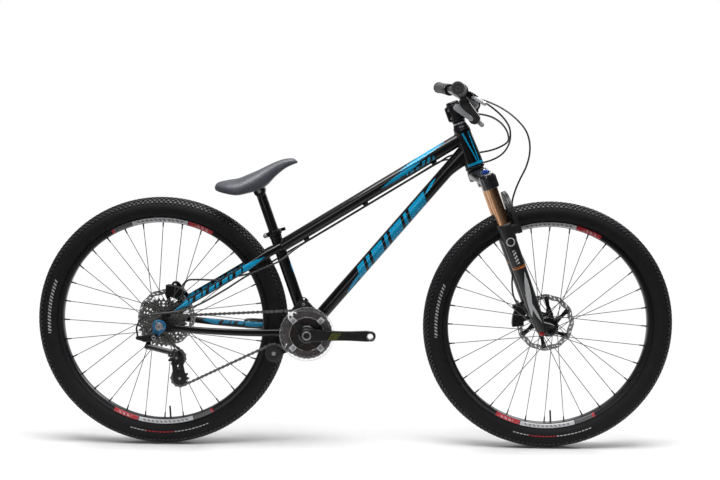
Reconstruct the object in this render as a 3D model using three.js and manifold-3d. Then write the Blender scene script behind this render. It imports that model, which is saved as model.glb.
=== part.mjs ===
// Dirt jump bike: a rigid-tail frame, a short-travel fork, two 26-inch wheels with disc
// brakes, one chainring with a clear guard and a chain guide, an eight-cog cassette and
// a rear derailleur. Millimetres and degrees. +X is forward, +Y is the rider's left and
// +Z is up. The origin is on the ground, midway between the wheel axles.

import * as THREE from 'three';
import { mergeVertices } from 'three/addons/utils/BufferGeometryUtils.js';
import Module from 'manifold-3d';

const wasm = await Module();
wasm.setup();

// Driving dimensions of the whole bike
const gap = 0.3;
const overrun = 3;
const wheelbase = 1048;
const bottomBracketBack = 130;
const bottomBracketDrop = 20;
const seatAngle = 70.8;
const headAngle = 69.3;
const forkOffset = 42;
const chainLine = 57;
const rearAxleSpacing = 135;
const frontAxleSpacing = 100;

const tyre = { radius: 340, width: 59, wall: 3, bead: 25.2, beadRadius: 281, lip: 286.7,
  innerBead: 14, count: 28 };
const tyreOuterAngles = [-6, 42, 90, 138, 186];
const tyreInnerAngles = [145, 35];
const rim = { radius: 286, inner: 271, width: 30, well: 277.5, wall: 2 };
const spoke = { radius: 1.1, count: 32, crossings: 3, stagger: 1.7, rootStagger: 1, rimOffset: 3 };
const rotor = { radius: 80, track: 15, thickness: 1.8, bore: 17, stub: 15.5, arms: 6,
  armWidth: 9, sides: 24, sweep: 0.5 };
const rearAxle = { radius: 6, headRadius: 10.5, headLength: 4.5, collar: 9, reach: 3 };
const frontAxle = { radius: 7.5, headRadius: 11, headLength: 5 };
const frontHub = { barrel: 14, flange: 26, flangeAt: 28, flangeHalf: 2.2, rotorAt: 41, seat: 20 };
const rearHub = { barrel: 15, flange: 27, driveFlangeAt: 15, discFlangeAt: 32, flangeHalf: 2.2,
  rotorAt: 52, seat: 20 };

const headTube = { length: 106, top: 21.5, bottom: 25.5, bore: 18.5, lowerBore: 22.5, seat: 14 };
const headset = { lip: 8.6, stackFloor: 479 };
const steerer = { top: 14.3, bottom: 18 };
const topTube = { radius: 17, seatJoin: 239.4, headJoin: 563 };
const downTube = { radius: 17.5, headJoin: 533, flareHalf: 26, flareDrop: 8, flareLength: 84 };
const seatTube = { radius: 15.8, length: 289, boreDepth: 165 };
const seatPost = { radius: 13.6, low: 150, top: 386, headRadius: 16, headHalf: 19, headAt: 402 };
const collar = { radius: 19.6, height: 13, ear: 14, earHalf: 9, skewer: 3.5, lug: 31 };
const shell = { radius: 20.5, half: 36.5, cup: 22, cupLength: 15.5 };
const stay = { wide: 7.2, tall: 11, chainWide: 7.2, chainTall: 10.5 };
const dropout = { thickness: 6.2, radius: 18 };
const cableGuide = { length: 16, drop: 9, half: 9 };

const fork = { legSpread: 65, legOffset: 17.5, stanchion: 16, legRadius: 20.5, legFoot: 17,
  legTop: 310, legBottom: 6, crownTop: 470, crownUnder: 441, endTop: 455, endUnder: 414,
  endRadius: 23, stanchionLow: 178, bore: 68, archTop: 387, archUnder: 353, archFront: 57,
  archBack: 44, archHalf: 42, shoulder: 26 };
const stem = { clampLow: 608, clampTop: 655, radius: 20, reach: 48, barClampAt: 638, half: 21,
  spacer: 17, barShell: 22, split: 6, capHeight: 7, boltRadius: 4, boltReach: 26, boltSpread: 30 };
const bar = { clampRadius: 15.9, gripRadius: 11.1, riseX: 28, riseY: 135, riseZ: 681,
  endX: 1.1, endY: 370, endZ: 700.6, flat: 36 };
const grip = { start: 108, radius: 15.6, flange: 19, ring: 8, wall: 3 };
const brakeClamp = { at: 83, half: 6, radius: 17 };
const lever = { pivotX: 36, hub: 7, thickness: 9, bladeHalf: 5, reach: 70, span: 128, lug: 3.4 };
const master = { radius: 9.5, from: 26, to: 76, x: 31 };
const shifter = { clampAt: 60, clampHalf: 5, clampRadius: 15.2, bridgeHalf: 8, nearX: 18.5, nearZ: -23.6,
  nearHalf: 13, farX: 62, farZ: -45, farHalf: 15, width: 24 };
const paddle = { thickness: 3, hub: 6, tip: 8, length: 46, pivotX: 55, pivotZ: -50, angle: 172 };
const trigger = { thickness: 3, hub: 5, tip: 6, length: 26, pivotX: 60, pivotZ: -44, angle: -12 };
const knob = { radius: 11, height: 11, ribs: 12, rib: 1.2 };
const rebound = { radius: 8, height: 11 };
const caliper = { inner: 58, outer: 93, slot: 3.6, reach: 84 };
const frontCaliper = { angle: 145, span: 46, width: 20, outerFace: 47.6, postLow: 20,
  postHigh: 62, postHeight: 12, postBack: 28 };
const rearCaliper = { angle: 72, span: 38, width: 26, outerFace: 62.2 };
const hose = { radius: 2.5, sides: 5 };

const chain = { pitch: 12.7, roller: 3.8, innerWidth: 2.7, plate: 1.9, overlap: 0.2, height: 4,
  wrapPlay: 1.4, straight: 0.5 };
const tooth = { thickness: 1.8, root: 4.3, tip: 3.2, rootHalf: 2.9 };
const chainring = { teeth: 32, boltCircle: 52, inner: 44, tab: 7 };
const cogTeeth = [11, 13, 15, 18, 21, 24, 28, 32];
const plainBelow = 30;
const cogPitch = 4.8;
const cassetteBody = { radius: 15.5, end: 64 };
const pulley = { teeth: 11, bore: 3.4, hub: 6 };
const slide = { x: -219, z: 265.5, radius: 19.4, cover: 2.6 };
const guidePlate = { thickness: 3, at: 51.2, boltX: -141, boltZ: 404, tab: 15, armRadius: 12,
  blockLow: 391.5, blockHigh: 409, blockFront: -112, blockBack: -166 };
const guard = { radius: 74, inner: 45, thickness: 3.4 };
const crank = { length: 170, bossRadius: 19, endRadius: 15, thickness: 12.5, outer: 87.5,
  spindle: 12, eye: 7.15, spider: 4.2, armHalf: 8 };
const cupBore = 12.4;
const hanger = { thickness: 4.7, radius: 18.5, tabRadius: 9, boltX: -537, boltZ: 311 };
const mech = { rearX: -562, rearZ: 307.5, bodyRadius: 9.5, bodyDepth: 11.5, linkX: -556,
  linkY: -82, linkZ: 286, linkLength: 72, linkSlope: 20, slant: 35, swing: 16.5, linkEnd: 7,
  linkHalf: 5.5, linkTall: 7, lug: 6, barrel: 11, barrelFrom: 86, barrelTo: 64.6,
  cageX: -486, cageZ: 265, stopX: -581, stopZ: 309, stopRadius: 5 };
const upperPulleyAt = { x: -480.5, z: 250.5 };
const lowerPulleyAt = { x: -472.5, z: 194.5 };
const cage = { outerAt: 64.2, innerAt: 50, thickness: 1.9, radius: 12, pin: 3 };
const saddle = { pocketPlay: 0.5 };

// Facet counts
const round = 12;
const medium = 10;
const small = 8;
const arcSteps = 3;

// Directions and fixed points of the frame
const rad = THREE.MathUtils.degToRad;
const ground = tyre.radius;
const rearHubAt = new THREE.Vector3(-wheelbase / 2, 0, ground);
const frontHubAt = new THREE.Vector3(wheelbase / 2, 0, ground);
const crankAt = new THREE.Vector3(-bottomBracketBack, 0, ground - bottomBracketDrop);
const sideways = new THREE.Vector3(0, 1, 0);
const upright = new THREE.Vector3(0, 0, 1);

function axisFrame(origin, angle) {
  const matrix = new THREE.Matrix4().makeRotationY(-rad(90 - angle));
  return matrix.setPosition(origin);
}

function direction(angle) {
  return new THREE.Vector3(-Math.cos(rad(angle)), 0, Math.sin(rad(angle)));
}

const steerUp = direction(headAngle);
const steerForward = new THREE.Vector3(steerUp.z, 0, -steerUp.x);
const steerAt = frontHubAt.clone().addScaledVector(steerForward, -forkOffset);
const steerFrame = axisFrame(steerAt, headAngle);
const seatUp = direction(seatAngle);
const seatFrame = axisFrame(crankAt, seatAngle);
const headLow = headset.stackFloor;
const headHigh = headLow + headTube.length;

// A point on the steering axis, or ahead of it, in the bike's frame
function onSteer(height, ahead = 0) {
  return new THREE.Vector3(ahead, 0, height).applyMatrix4(steerFrame);
}

function onSeat(height, ahead = 0, left = 0) {
  return new THREE.Vector3(ahead, left, height).applyMatrix4(seatFrame);
}

// Merges equal corners and drops collapsed triangles, so that manifold-3d can read it
function welded(geometry) {
  const bare = geometry.clone();
  bare.deleteAttribute('normal');
  bare.deleteAttribute('uv');
  const merged = mergeVertices(bare);
  const corners = merged.index.array;
  const kept = [];
  for (let i = 0; i < corners.length; i += 3) {
    const [a, b, c] = [corners[i], corners[i + 1], corners[i + 2]];
    if (a !== b && b !== c && c !== a) {
      kept.push(a, b, c);
    }
  }
  merged.setIndex(kept);
  return merged;
}

function solid(geometry) {
  const merged = welded(geometry);
  return new wasm.Manifold(new wasm.Mesh({
    numProp: 3,
    vertProperties: merged.attributes.position.array,
    triVerts: new Uint32Array(merged.index.array),
  }));
}

function joined(...shapes) {
  return shapes.slice(1).reduce((whole, shape) => whole.add(solid(shape)), solid(shapes[0]));
}

function shapeOf(body) {
  const mesh = body.getMesh();
  const geometry = new THREE.BufferGeometry();
  geometry.setAttribute('position', new THREE.BufferAttribute(mesh.vertProperties, mesh.numProp));
  geometry.setIndex(new THREE.BufferAttribute(mesh.triVerts, 1));
  return geometry;
}

// Turns the faces of a closed shape outwards, if they point inwards
function outward(geometry) {
  const at = geometry.attributes.position;
  const corners = geometry.index.array;
  const [a, b, c] = [new THREE.Vector3(), new THREE.Vector3(), new THREE.Vector3()];
  let volume = 0;
  for (let i = 0; i < corners.length; i += 3) {
    a.fromBufferAttribute(at, corners[i]);
    b.fromBufferAttribute(at, corners[i + 1]);
    c.fromBufferAttribute(at, corners[i + 2]);
    volume += a.dot(b.cross(c));
  }
  if (volume < 0) {
    for (let i = 0; i < corners.length; i += 3) {
      [corners[i], corners[i + 1]] = [corners[i + 1], corners[i]];
    }
  }
  return geometry;
}

// Skins a row of rings of equal count, and closes the first and the last
function loft(rings) {
  const count = rings[0].length;
  const points = rings.flat();
  const faces = [];
  for (let ring = 0; ring < rings.length - 1; ring += 1) {
    for (let i = 0; i < count; i += 1) {
      const a = ring * count + i;
      const b = ring * count + (i + 1) % count;
      faces.push(a, b, a + count, b, b + count, a + count);
    }
  }
  const last = points.length - count;
  for (let i = 1; i < count - 1; i += 1) {
    faces.push(0, i + 1, i, last, last + i, last + i + 1);
  }
  const geometry = new THREE.BufferGeometry().setFromPoints(points);
  geometry.setIndex(faces);
  return outward(geometry);
}

function oval(centre, across, up, wide, tall, sides) {
  const ring = [];
  for (let i = 0; i < sides; i += 1) {
    const angle = 2 * Math.PI * (i + 0.5) / sides;
    ring.push(centre.clone()
      .addScaledVector(across, wide * Math.cos(angle))
      .addScaledVector(up, tall * Math.sin(angle)));
  }
  return ring;
}

// An oval tube along a curve, kept upright; wide and tall give its half sizes
function ovalTube(curve, steps, sides, wide, tall) {
  const rings = [];
  for (let i = 0; i <= steps; i += 1) {
    const share = i / steps;
    const along = curve.getTangentAt(share);
    const across = new THREE.Vector3().crossVectors(along, upright).normalize();
    const up = new THREE.Vector3().crossVectors(across, along);
    const centre = curve.getPointAt(share);
    rings.push(oval(centre, across, up, wide(share), tall(share), sides));
  }
  return loft(rings);
}

// A round bar or cone from one point to another
function rod(from, to, radiusFrom, radiusTo = radiusFrom, sides = round) {
  const along = to.clone().sub(from);
  const geometry = new THREE.CylinderGeometry(radiusTo, radiusFrom, along.length(), sides);
  along.normalize();
  const across = Math.abs(along.y) < 1 ? sideways.clone() : new THREE.Vector3(1, 0, 0);
  across.addScaledVector(along, -across.dot(along)).normalize();
  const third = new THREE.Vector3().crossVectors(across, along);
  const middle = from.clone().add(to).multiplyScalar(1 / 2);
  const place = new THREE.Matrix4().makeBasis(across, along, third).setPosition(middle);
  return geometry.applyMatrix4(place);
}

// The radius of a cutter whose facets lie the gap outside those of a round bar
function grown(radius) {
  return radius + gap / Math.cos(Math.PI / round);
}

// The radius of a bore that stays clear of a round bar, whatever way their facets fall
function clearOf(radius, sides = round) {
  return (radius + gap) / Math.cos(Math.PI / sides);
}

// A round bar across the bike, between two distances to the left
function crossRod(x, z, low, high, radius, sides = round) {
  return rod(new THREE.Vector3(x, low, z), new THREE.Vector3(x, high, z), radius, radius, sides);
}

function box(low, high) {
  const geometry = new THREE.BoxGeometry(high[0] - low[0], high[1] - low[1], high[2] - low[2]);
  return geometry.translate((low[0] + high[0]) / 2, (low[1] + high[1]) / 2, (low[2] + high[2]) / 2);
}

// Turns a closed profile of [radius, height] points round the Y axis
function revolved(profile, sides) {
  const points = [...profile, profile[0]].map(([radius, height]) => (
    new THREE.Vector2(radius, height)));
  return outward(welded(new THREE.LatheGeometry(points, sides)));
}

// An outline in the XZ plane, given a thickness from one side distance to another
function plate(outline, low, high, curveSegments = arcSteps) {
  const options = { depth: high - low, bevelEnabled: false, curveSegments, steps: 1 };
  const geometry = new THREE.ExtrudeGeometry(outline, options);
  return geometry.rotateX(Math.PI / 2).translate(0, high, 0);
}

// A regular outline in the XZ plane
function polygon(radius, count, x = 0, z = 0) {
  const corners = [];
  for (let i = 0; i < count; i += 1) {
    const angle = 2 * Math.PI * i / count;
    corners.push(new THREE.Vector2(x + radius * Math.cos(angle), z + radius * Math.sin(angle)));
  }
  return new THREE.Shape(corners);
}

// The outline round two circles and the straight lines that touch both
function strap(ax, az, aRadius, bx, bz, bRadius) {
  const heading = Math.atan2(bz - az, bx - ax);
  const lean = Math.acos((aRadius - bRadius) / Math.hypot(bx - ax, bz - az));
  const outline = new THREE.Shape();
  outline.absarc(ax, az, aRadius, heading + lean, heading - lean + 2 * Math.PI, false);
  outline.absarc(bx, bz, bRadius, heading - lean, heading + lean, false);
  outline.closePath();
  return outline;
}

function mirrored(geometry) {
  const other = geometry.clone();
  const at = other.attributes.position;
  for (let i = 0; i < at.count; i += 1) {
    at.setY(i, -at.getY(i));
  }
  return outward(welded(other));
}

function look(color, roughness, metalness) {
  return new THREE.MeshStandardMaterial({ color, roughness, metalness });
}

const paint = look(0x0b0c0e, 0.22, 0.1);
const blackAlloy = look(0x15161a, 0.42, 0.7);
const blueAlloy = look(0x1c86bd, 0.35, 0.8);
const silver = look(0xb9bcc2, 0.3, 0.9);
const goldCoat = look(0x6b4a24, 0.25, 0.8);
const redAlloy = look(0xb3201c, 0.35, 0.7);
const rubber = look(0x161616, 0.85, 0);
const fabric = look(0x1a1a1c, 0.75, 0);
const clear = look(0xdfe4ea, 0.1, 0);
const steel = look(0x6d6c6e, 0.35, 0.9);
const grey = look(0x3a3c40, 0.5, 0.6);

const bike = new THREE.Group();
const frame = new THREE.Group();
const steering = new THREE.Group();
steering.applyMatrix4(steerFrame);
const seating = new THREE.Group();
seating.applyMatrix4(seatFrame);
bike.add(frame, steering, seating);

function add(parent, name, shape, material) {
  const geometry = shape.isBufferGeometry ? welded(shape) : shapeOf(shape);
  geometry.computeVertexNormals();
  const mesh = new THREE.Mesh(geometry, material);
  mesh.name = name;
  parent.add(mesh);
  return mesh;
}

// Tyre: an open carcass whose beads sit inside the rim's edges
function tyreShape() {
  const half = tyre.width / 2;
  const middle = tyre.radius - half;
  const bead = tyre.bead / 2;
  const arc = (radius, angles) => angles.map((degrees) => (
    [middle + radius * Math.sin(rad(degrees)), radius * Math.cos(rad(degrees))]));
  const profile = [
    [tyre.beadRadius, bead], [tyre.lip, bead],
    ...arc(half, tyreOuterAngles),
    [tyre.lip, -bead], [tyre.beadRadius, -bead], [tyre.beadRadius, -tyre.innerBead / 2],
    ...arc(half - tyre.wall, tyreInnerAngles),
    [tyre.beadRadius, tyre.innerBead / 2],
  ];
  return revolved(profile, tyre.count);
}

// Rim: a channel with two upright edges
function rimShape() {
  const half = rim.width / 2;
  return revolved([
    [rim.inner, 0], [rim.well - rim.wall, -half], [rim.radius, -half],
    [rim.radius, rim.wall - half], [rim.well, rim.wall - half], [rim.well, half - rim.wall],
    [rim.radius, half - rim.wall], [rim.radius, half], [rim.well - rim.wall, half],
  ], tyre.count);
}

// Hub with its laced spokes: each side crosses three others and leans in or out at its flange
function lacedHub(barrelProfile, flangeRadius, rightFlange, leftFlange) {
  const facet = Math.cos(Math.PI / tyre.count);
  const spokeEnd = rim.inner * facet - 2 * gap;
  const root = flangeRadius - 3 * spoke.radius;
  const perSide = spoke.count / 2;
  const spokeStep = 2 * Math.PI / spoke.count;
  let hub = solid(revolved(barrelProfile, medium));
  for (let i = 0; i < spoke.count; i += 1) {
    const left = i % 2 === 0;
    const lean = Math.floor(i / 2) % 2 === 0 ? 1 : -1;
    const rimAngle = i * spokeStep;
    const hubAngle = rimAngle + lean * spoke.crossings * 2 * Math.PI / perSide;
    const flange = left ? leftFlange : -rightFlange;
    const rimSide = left ? spoke.rimOffset : -spoke.rimOffset;
    const side = lean * (left ? 1 : -1);
    const from = new THREE.Vector3(root * Math.cos(hubAngle),
      flange + side * spoke.rootStagger, root * Math.sin(hubAngle));
    const to = new THREE.Vector3(spokeEnd * Math.cos(rimAngle),
      rimSide + side * spoke.stagger, spokeEnd * Math.sin(rimAngle));
    hub = hub.add(solid(rod(from, to, spoke.radius, spoke.radius, 3)));
  }
  return hub;
}

function frontHubProfile() {
  const bore = clearOf(frontAxle.radius, medium);
  const end = frontAxleSpacing / 2 - 2 * gap;
  const inner = frontHub.flangeAt - frontHub.flangeHalf;
  const outer = frontHub.flangeAt + frontHub.flangeHalf;
  const seat = frontHub.rotorAt - rotor.thickness / 2 - gap;
  return [
    [bore, -end], [bore + 3 * frontHub.flangeHalf, -end], [frontHub.barrel, -outer],
    [frontHub.flange, -outer], [frontHub.flange, -inner], [frontHub.barrel, -inner],
    [frontHub.barrel, inner], [frontHub.flange, inner], [frontHub.flange, outer],
    [frontHub.seat, outer], [frontHub.seat, seat], [rotor.stub, seat],
    [rotor.stub, end], [bore, end],
  ];
}

function rearHubProfile() {
  const bore = clearOf(rearAxle.radius, medium);
  const end = rearAxleSpacing / 2 - rearAxle.reach - gap;
  const driveOuter = rearHub.driveFlangeAt + rearHub.flangeHalf;
  const driveInner = rearHub.driveFlangeAt - rearHub.flangeHalf;
  const discInner = rearHub.discFlangeAt - rearHub.flangeHalf;
  const discOuter = rearHub.discFlangeAt + rearHub.flangeHalf;
  const seat = rearHub.rotorAt - rotor.thickness / 2 - gap;
  return [
    [bore, -driveOuter], [rearHub.flange, -driveOuter], [rearHub.flange, -driveInner],
    [rearHub.barrel, -driveInner], [rearHub.barrel, discInner], [rearHub.flange, discInner],
    [rearHub.flange, discOuter], [rearHub.seat, discOuter], [rearHub.seat, seat],
    [rotor.stub, seat], [rotor.stub, end], [bore, end],
  ];
}

// Disc: a brake track on six leaning arms
function rotorShape() {
  const outline = polygon(rotor.radius, rotor.sides);
  outline.holes.push(polygon(rotor.bore, medium));
  const inner = rotor.bore + rotor.armWidth;
  const outer = rotor.radius - rotor.track;
  const step = 2 * Math.PI / rotor.arms;
  const innerHalf = step / 2 - rotor.armWidth / 2 / inner;
  const outerHalf = step / 2 - rotor.armWidth / 2 / outer;
  for (let i = 0; i < rotor.arms; i += 1) {
    const middle = i * step;
    const corners = [-1, 0, 1].map((share) => (
      [outer, middle + rotor.sweep + share * outerHalf]));
    corners.push([inner, middle + innerHalf], [inner, middle - innerHalf]);
    outline.holes.push(new THREE.Path(corners.map(([radius, angle]) => (
      new THREE.Vector2(radius * Math.cos(angle), radius * Math.sin(angle))))));
  }
  return plate(outline, -rotor.thickness / 2, rotor.thickness / 2);
}

function wheel(name, at, hub, rotorAt) {
  const group = new THREE.Group();
  group.position.copy(at);
  bike.add(group);
  add(group, `${name}_tyre`, tyreShape(), rubber);
  add(group, `${name}_rim`, rimShape(), blackAlloy);
  add(group, `${name}_hub`, hub, blackAlloy);
  add(group, `${name}_rotor`, rotorShape().translate(0, rotorAt, 0), steel);
}

// Frame tubes, mitred where they meet
function headTubeShape() {
  const upperSeat = headHigh - headTube.seat;
  const lowerSeat = headLow + headTube.seat;
  const throat = clearOf(steerer.bottom);
  const tube = revolved([
    [throat, lowerSeat], [headTube.lowerBore, lowerSeat], [headTube.lowerBore, headLow],
    [headTube.bottom, headLow], [headTube.bottom, lowerSeat], [headTube.top, upperSeat],
    [headTube.top, headHigh], [headTube.bore, headHigh], [headTube.bore, upperSeat],
    [throat, upperSeat],
  ], round);
  return tube.rotateX(Math.PI / 2).applyMatrix4(steerFrame);
}

// The head tube's outside, grown by the gap, for cutting the tubes that meet it
function headTubeCutter() {
  const bottom = grown(headTube.bottom);
  const top = grown(headTube.top);
  const cutter = revolved([
    [0, headLow - overrun], [bottom, headLow - overrun], [bottom, headLow + headTube.seat],
    [top, headHigh - headTube.seat], [top, headHigh + overrun], [0, headHigh + overrun],
  ], round);
  return solid(cutter.rotateX(Math.PI / 2).applyMatrix4(steerFrame));
}

function seatTubeCutter() {
  return solid(rod(onSeat(0), onSeat(seatTube.length + overrun), grown(seatTube.radius)));
}

function topTubeCutter() {
  const [rear, front] = topTubeLine();
  const along = front.clone().sub(rear).normalize();
  rear.addScaledVector(along, -overrun);
  return solid(rod(rear, front, grown(topTube.radius)));
}

function shellCutter() {
  return solid(crossRod(crankAt.x, crankAt.z, -shell.half - overrun, shell.half + overrun,
    grown(shell.radius)));
}

function topTubeLine() {
  return [onSeat(topTube.seatJoin), onSteer(topTube.headJoin)];
}

function topTubeShape() {
  const [rear, front] = topTubeLine();
  const along = front.clone().sub(rear);
  let tube = solid(rod(rear, front, topTube.radius));
  const down = new THREE.Vector3(along.z, 0, -along.x).normalize();
  for (const share of [0.13, 0.45, 0.82]) {
    const middle = rear.clone().addScaledVector(along, share);
    const clip = new THREE.BoxGeometry(cableGuide.length, 2 * cableGuide.half, cableGuide.drop);
    clip.rotateY(Math.atan2(-along.z, along.x));
    middle.addScaledVector(down, topTube.radius - gap);
    tube = tube.add(solid(clip.translate(middle.x, middle.y, middle.z)));
  }
  return tube.subtract(headTubeCutter()).subtract(seatTubeCutter());
}

function downTubeShape() {
  const rear = crankAt.clone();
  const front = onSteer(downTube.headJoin);
  const along = front.clone().sub(rear);
  const length = along.length();
  along.normalize();
  const down = new THREE.Vector3(along.z, 0, -along.x);
  const stations = [
    [0, 0, downTube.radius],
    [length - downTube.flareLength, 0, downTube.radius],
    [length - downTube.flareLength / 3, downTube.flareDrop * 0.7, downTube.flareHalf * 0.9],
    [length, downTube.flareDrop, downTube.flareHalf],
  ];
  const rings = stations.map(([distance, drop, tall]) => {
    const centre = rear.clone().addScaledVector(along, distance).addScaledVector(down, drop);
    return oval(centre, sideways, down, downTube.radius, tall, round);
  });
  return solid(loft(rings))
    .subtract(headTubeCutter())
    .subtract(shellCutter())
    .subtract(seatTubeCutter())
    .subtract(topTubeCutter());
}

function seatTubeShape() {
  const outer = solid(rod(onSeat(0), onSeat(seatTube.length), seatTube.radius));
  const low = seatTube.length - seatTube.boreDepth;
  const bore = rod(onSeat(low), onSeat(seatTube.length + overrun), clearOf(seatPost.radius));
  return outer.subtract(solid(bore)).subtract(shellCutter());
}

function shellShape() {
  const end = shell.half + shell.cupLength;
  const profile = [
    [cupBore, -end], [shell.cup, -end], [shell.cup, -shell.half], [shell.radius, -shell.half],
    [shell.radius, shell.half], [shell.cup, shell.half], [shell.cup, end], [cupBore, end],
  ];
  return revolved(profile, round).translate(crankAt.x, 0, crankAt.z);
}

// Chainstay and dropout, left side: an oval tube that bows out past the tyre
const dropoutFace = rearAxleSpacing / 2 + gap;
const dropoutMiddle = dropoutFace + dropout.thickness / 2;

function chainstayShape() {
  const length = crankAt.x - rearHubAt.x;
  const route = [
    [0.02, 20, 0], [0.155, 38.5, -1], [0.26, 45.5, -1], [0.43, 56, 1], [0.7, 66, 7],
    [0.915, dropoutMiddle, 15],
  ].map(([share, left, rise]) => new THREE.Vector3(
    crankAt.x - share * length, left, crankAt.z + rise));
  const curve = new THREE.CatmullRomCurve3(route);
  const tube = solid(ovalTube(curve, 8, 8, (share) => stay.chainWide * (1 - 0.35 * share ** 6),
    (share) => stay.chainTall * (1 - 0.2 * share)));
  const end = route[route.length - 1];
  const claw = plate(strap(rearHubAt.x, rearHubAt.z, dropout.radius,
    end.x, end.z, stay.chainTall), dropoutFace, dropoutFace + dropout.thickness);
  const hole = crossRod(rearHubAt.x, rearHubAt.z, dropoutFace - overrun,
    dropoutFace + dropout.thickness + overrun, clearOf(rearAxle.radius));
  return tube.add(solid(claw)).subtract(solid(hole)).subtract(shellCutter())
    .subtract(seatTubeCutter());
}

function seatstayRoute() {
  const top = onSeat(topTube.seatJoin);
  return [
    [top.x + 2, 12, top.z + 2], [-238, 33, 532], [-268, 44, 512.5], [-303, 50.5, 491.5],
    [-350, 58, 462.6], [-397, 64, 434], [-443, 68, 407], [-497, dropoutMiddle, 374],
  ].map(([x, y, z]) => new THREE.Vector3(x, y, z));
}

function seatstayShape(withTab) {
  const curve = new THREE.CatmullRomCurve3(seatstayRoute());
  let tube = solid(ovalTube(curve, 9, 8, () => stay.wide,
    (share) => stay.tall * (1 - 0.22 * share)));
  const end = seatstayRoute()[7];
  const foot = plate(strap(end.x, end.z, stay.tall * 0.78, rearHubAt.x + 12,
    rearHubAt.z + dropout.radius + 6, stay.tall * 0.7), dropoutFace,
  dropoutFace + dropout.thickness);
  tube = tube.add(solid(foot));
  if (withTab) {
    const tab = plate(strap(-470, 393, 11, -500, 427, 13), dropoutFace - 5, dropoutFace + 1.5);
    tube = tube.add(solid(tab));
  }
  const clawCut = plate(strap(rearHubAt.x, rearHubAt.z, dropout.radius + gap,
    rearHubAt.x + 47, rearHubAt.z - 5, stay.chainTall + gap),
  dropoutFace - overrun, dropoutFace + dropout.thickness + overrun, 8);
  return tube.subtract(solid(clawCut)).subtract(seatTubeCutter()).subtract(topTubeCutter());
}

function hangerShape() {
  const inner = dropoutFace + dropout.thickness + gap;
  const outline = strap(rearHubAt.x, rearHubAt.z, hanger.radius,
    hanger.boltX, hanger.boltZ, hanger.tabRadius);
  outline.holes.push(polygon(clearOf(rearAxle.radius, medium), medium, rearHubAt.x,
    rearHubAt.z));
  return plate(outline, -inner - hanger.thickness, -inner);
}

// Headset bearings: a lip outside the head tube and a ring inside it
function upperBearing() {
  return revolved([
    [clearOf(steerer.top), headHigh - headTube.seat + gap], [headTube.bore - gap,
      headHigh - headTube.seat + gap], [headTube.bore - gap, headHigh + gap],
    [headTube.top, headHigh + gap], [headTube.top - 1.5, headHigh + headset.lip],
    [clearOf(steerer.top), headHigh + headset.lip],
  ], round).rotateX(Math.PI / 2).applyMatrix4(steerFrame);
}

function lowerBearing() {
  const floor = headLow - headset.lip;
  return revolved([
    [clearOf(steerer.bottom), headLow + headTube.seat - gap], [headTube.lowerBore - gap,
      headLow + headTube.seat - gap], [headTube.lowerBore - gap, headLow - gap],
    [headTube.bottom + 1, headLow - gap], [headTube.bottom + 1, floor + 2],
    [clearOf(steerer.bottom), floor + gap],
  ], round).rotateX(Math.PI / 2).applyMatrix4(steerFrame);
}

// Everything below is in the steering frame: +Z up the steering axis, +X ahead of it,
// with zero height level with the wheel axle
function crownShape() {
  const spread = fork.legSpread;
  const x = fork.legOffset;
  const vertical = (cx, cy, low, high, radius, top = radius) => rod(
    new THREE.Vector3(cx, cy, low), new THREE.Vector3(cx, cy, high), radius, top);
  let crown = solid(vertical(0, 0, fork.crownUnder, fork.crownTop, steerer.bottom + 8));
  for (const side of [-1, 1]) {
    const bridge = loft([
      oval(new THREE.Vector3(0, 0, (fork.crownUnder + fork.crownTop) / 2),
        new THREE.Vector3(1, 0, 0), upright, steerer.bottom + 7,
        (fork.crownTop - fork.crownUnder) / 2, 8),
      oval(new THREE.Vector3(x, side * (spread - 6), (fork.endUnder + 8 + fork.endTop) / 2),
        new THREE.Vector3(1, 0, 0), upright, fork.endRadius - 4,
        (fork.endTop - fork.endUnder - 8) / 2, 8),
    ]);
    crown = crown.add(solid(bridge));
    const leg = revolved([
      [0, fork.stanchionLow], [fork.stanchion, fork.stanchionLow], [fork.stanchion, fork.endUnder],
      [fork.endRadius, fork.endUnder], [fork.endRadius, fork.endTop - 4],
      [fork.endRadius - 4, fork.endTop], [0, fork.endTop],
    ], round);
    crown = crown.add(solid(leg.rotateX(Math.PI / 2).translate(x, side * spread, 0)));
  }
  const flatFront = box([fork.archBack - 2 * gap, -2 * spread, fork.endUnder - overrun],
    [4 * spread, 2 * spread, fork.crownTop + overrun]);
  crown = crown.subtract(solid(flatFront)).subtract(solid(box(
    [-2 * spread, -36, fork.endUnder - overrun], [2 * spread, 36, fork.crownUnder])));
  const taper = rod(new THREE.Vector3(0, 0, fork.crownTop - overrun),
    new THREE.Vector3(0, 0, headHigh - headTube.seat), steerer.bottom, steerer.top);
  const shaft = rod(new THREE.Vector3(0, 0, headHigh - headTube.seat - overrun),
    new THREE.Vector3(0, 0, stem.clampTop - gap), steerer.top);
  return crown.add(solid(taper)).add(solid(shaft));
}

function legShape(side) {
  const x = fork.legOffset;
  const y = side * fork.legSpread;
  const shoulder = fork.legTop - fork.shoulder;
  const bore = clearOf(fork.stanchion);
  const tube = revolved([
    [0, fork.legBottom], [fork.legFoot - 3, fork.legBottom], [fork.legFoot, 60],
    [fork.legRadius - 1, shoulder], [fork.legRadius, shoulder + 2], [fork.legRadius, fork.legTop],
    [bore, fork.legTop], [bore, fork.bore], [0, fork.bore],
  ], round).rotateX(Math.PI / 2).translate(x, y, 0);
  const bossInner = frontAxleSpacing / 2 + gap;
  const bossOuter = fork.legSpread + 8;
  const low = side > 0 ? bossInner : -bossOuter;
  const high = side > 0 ? bossOuter : -bossInner;
  const boss = plate(strap(x, 20, fork.legFoot - 3, forkOffset, 0, 16), low, high);
  const brace = box([x + bore, y - 15, fork.legTop - 34], [fork.archFront, y + 15,
    fork.legTop - 6]);
  return joined(tube, boss, brace);
}

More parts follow.
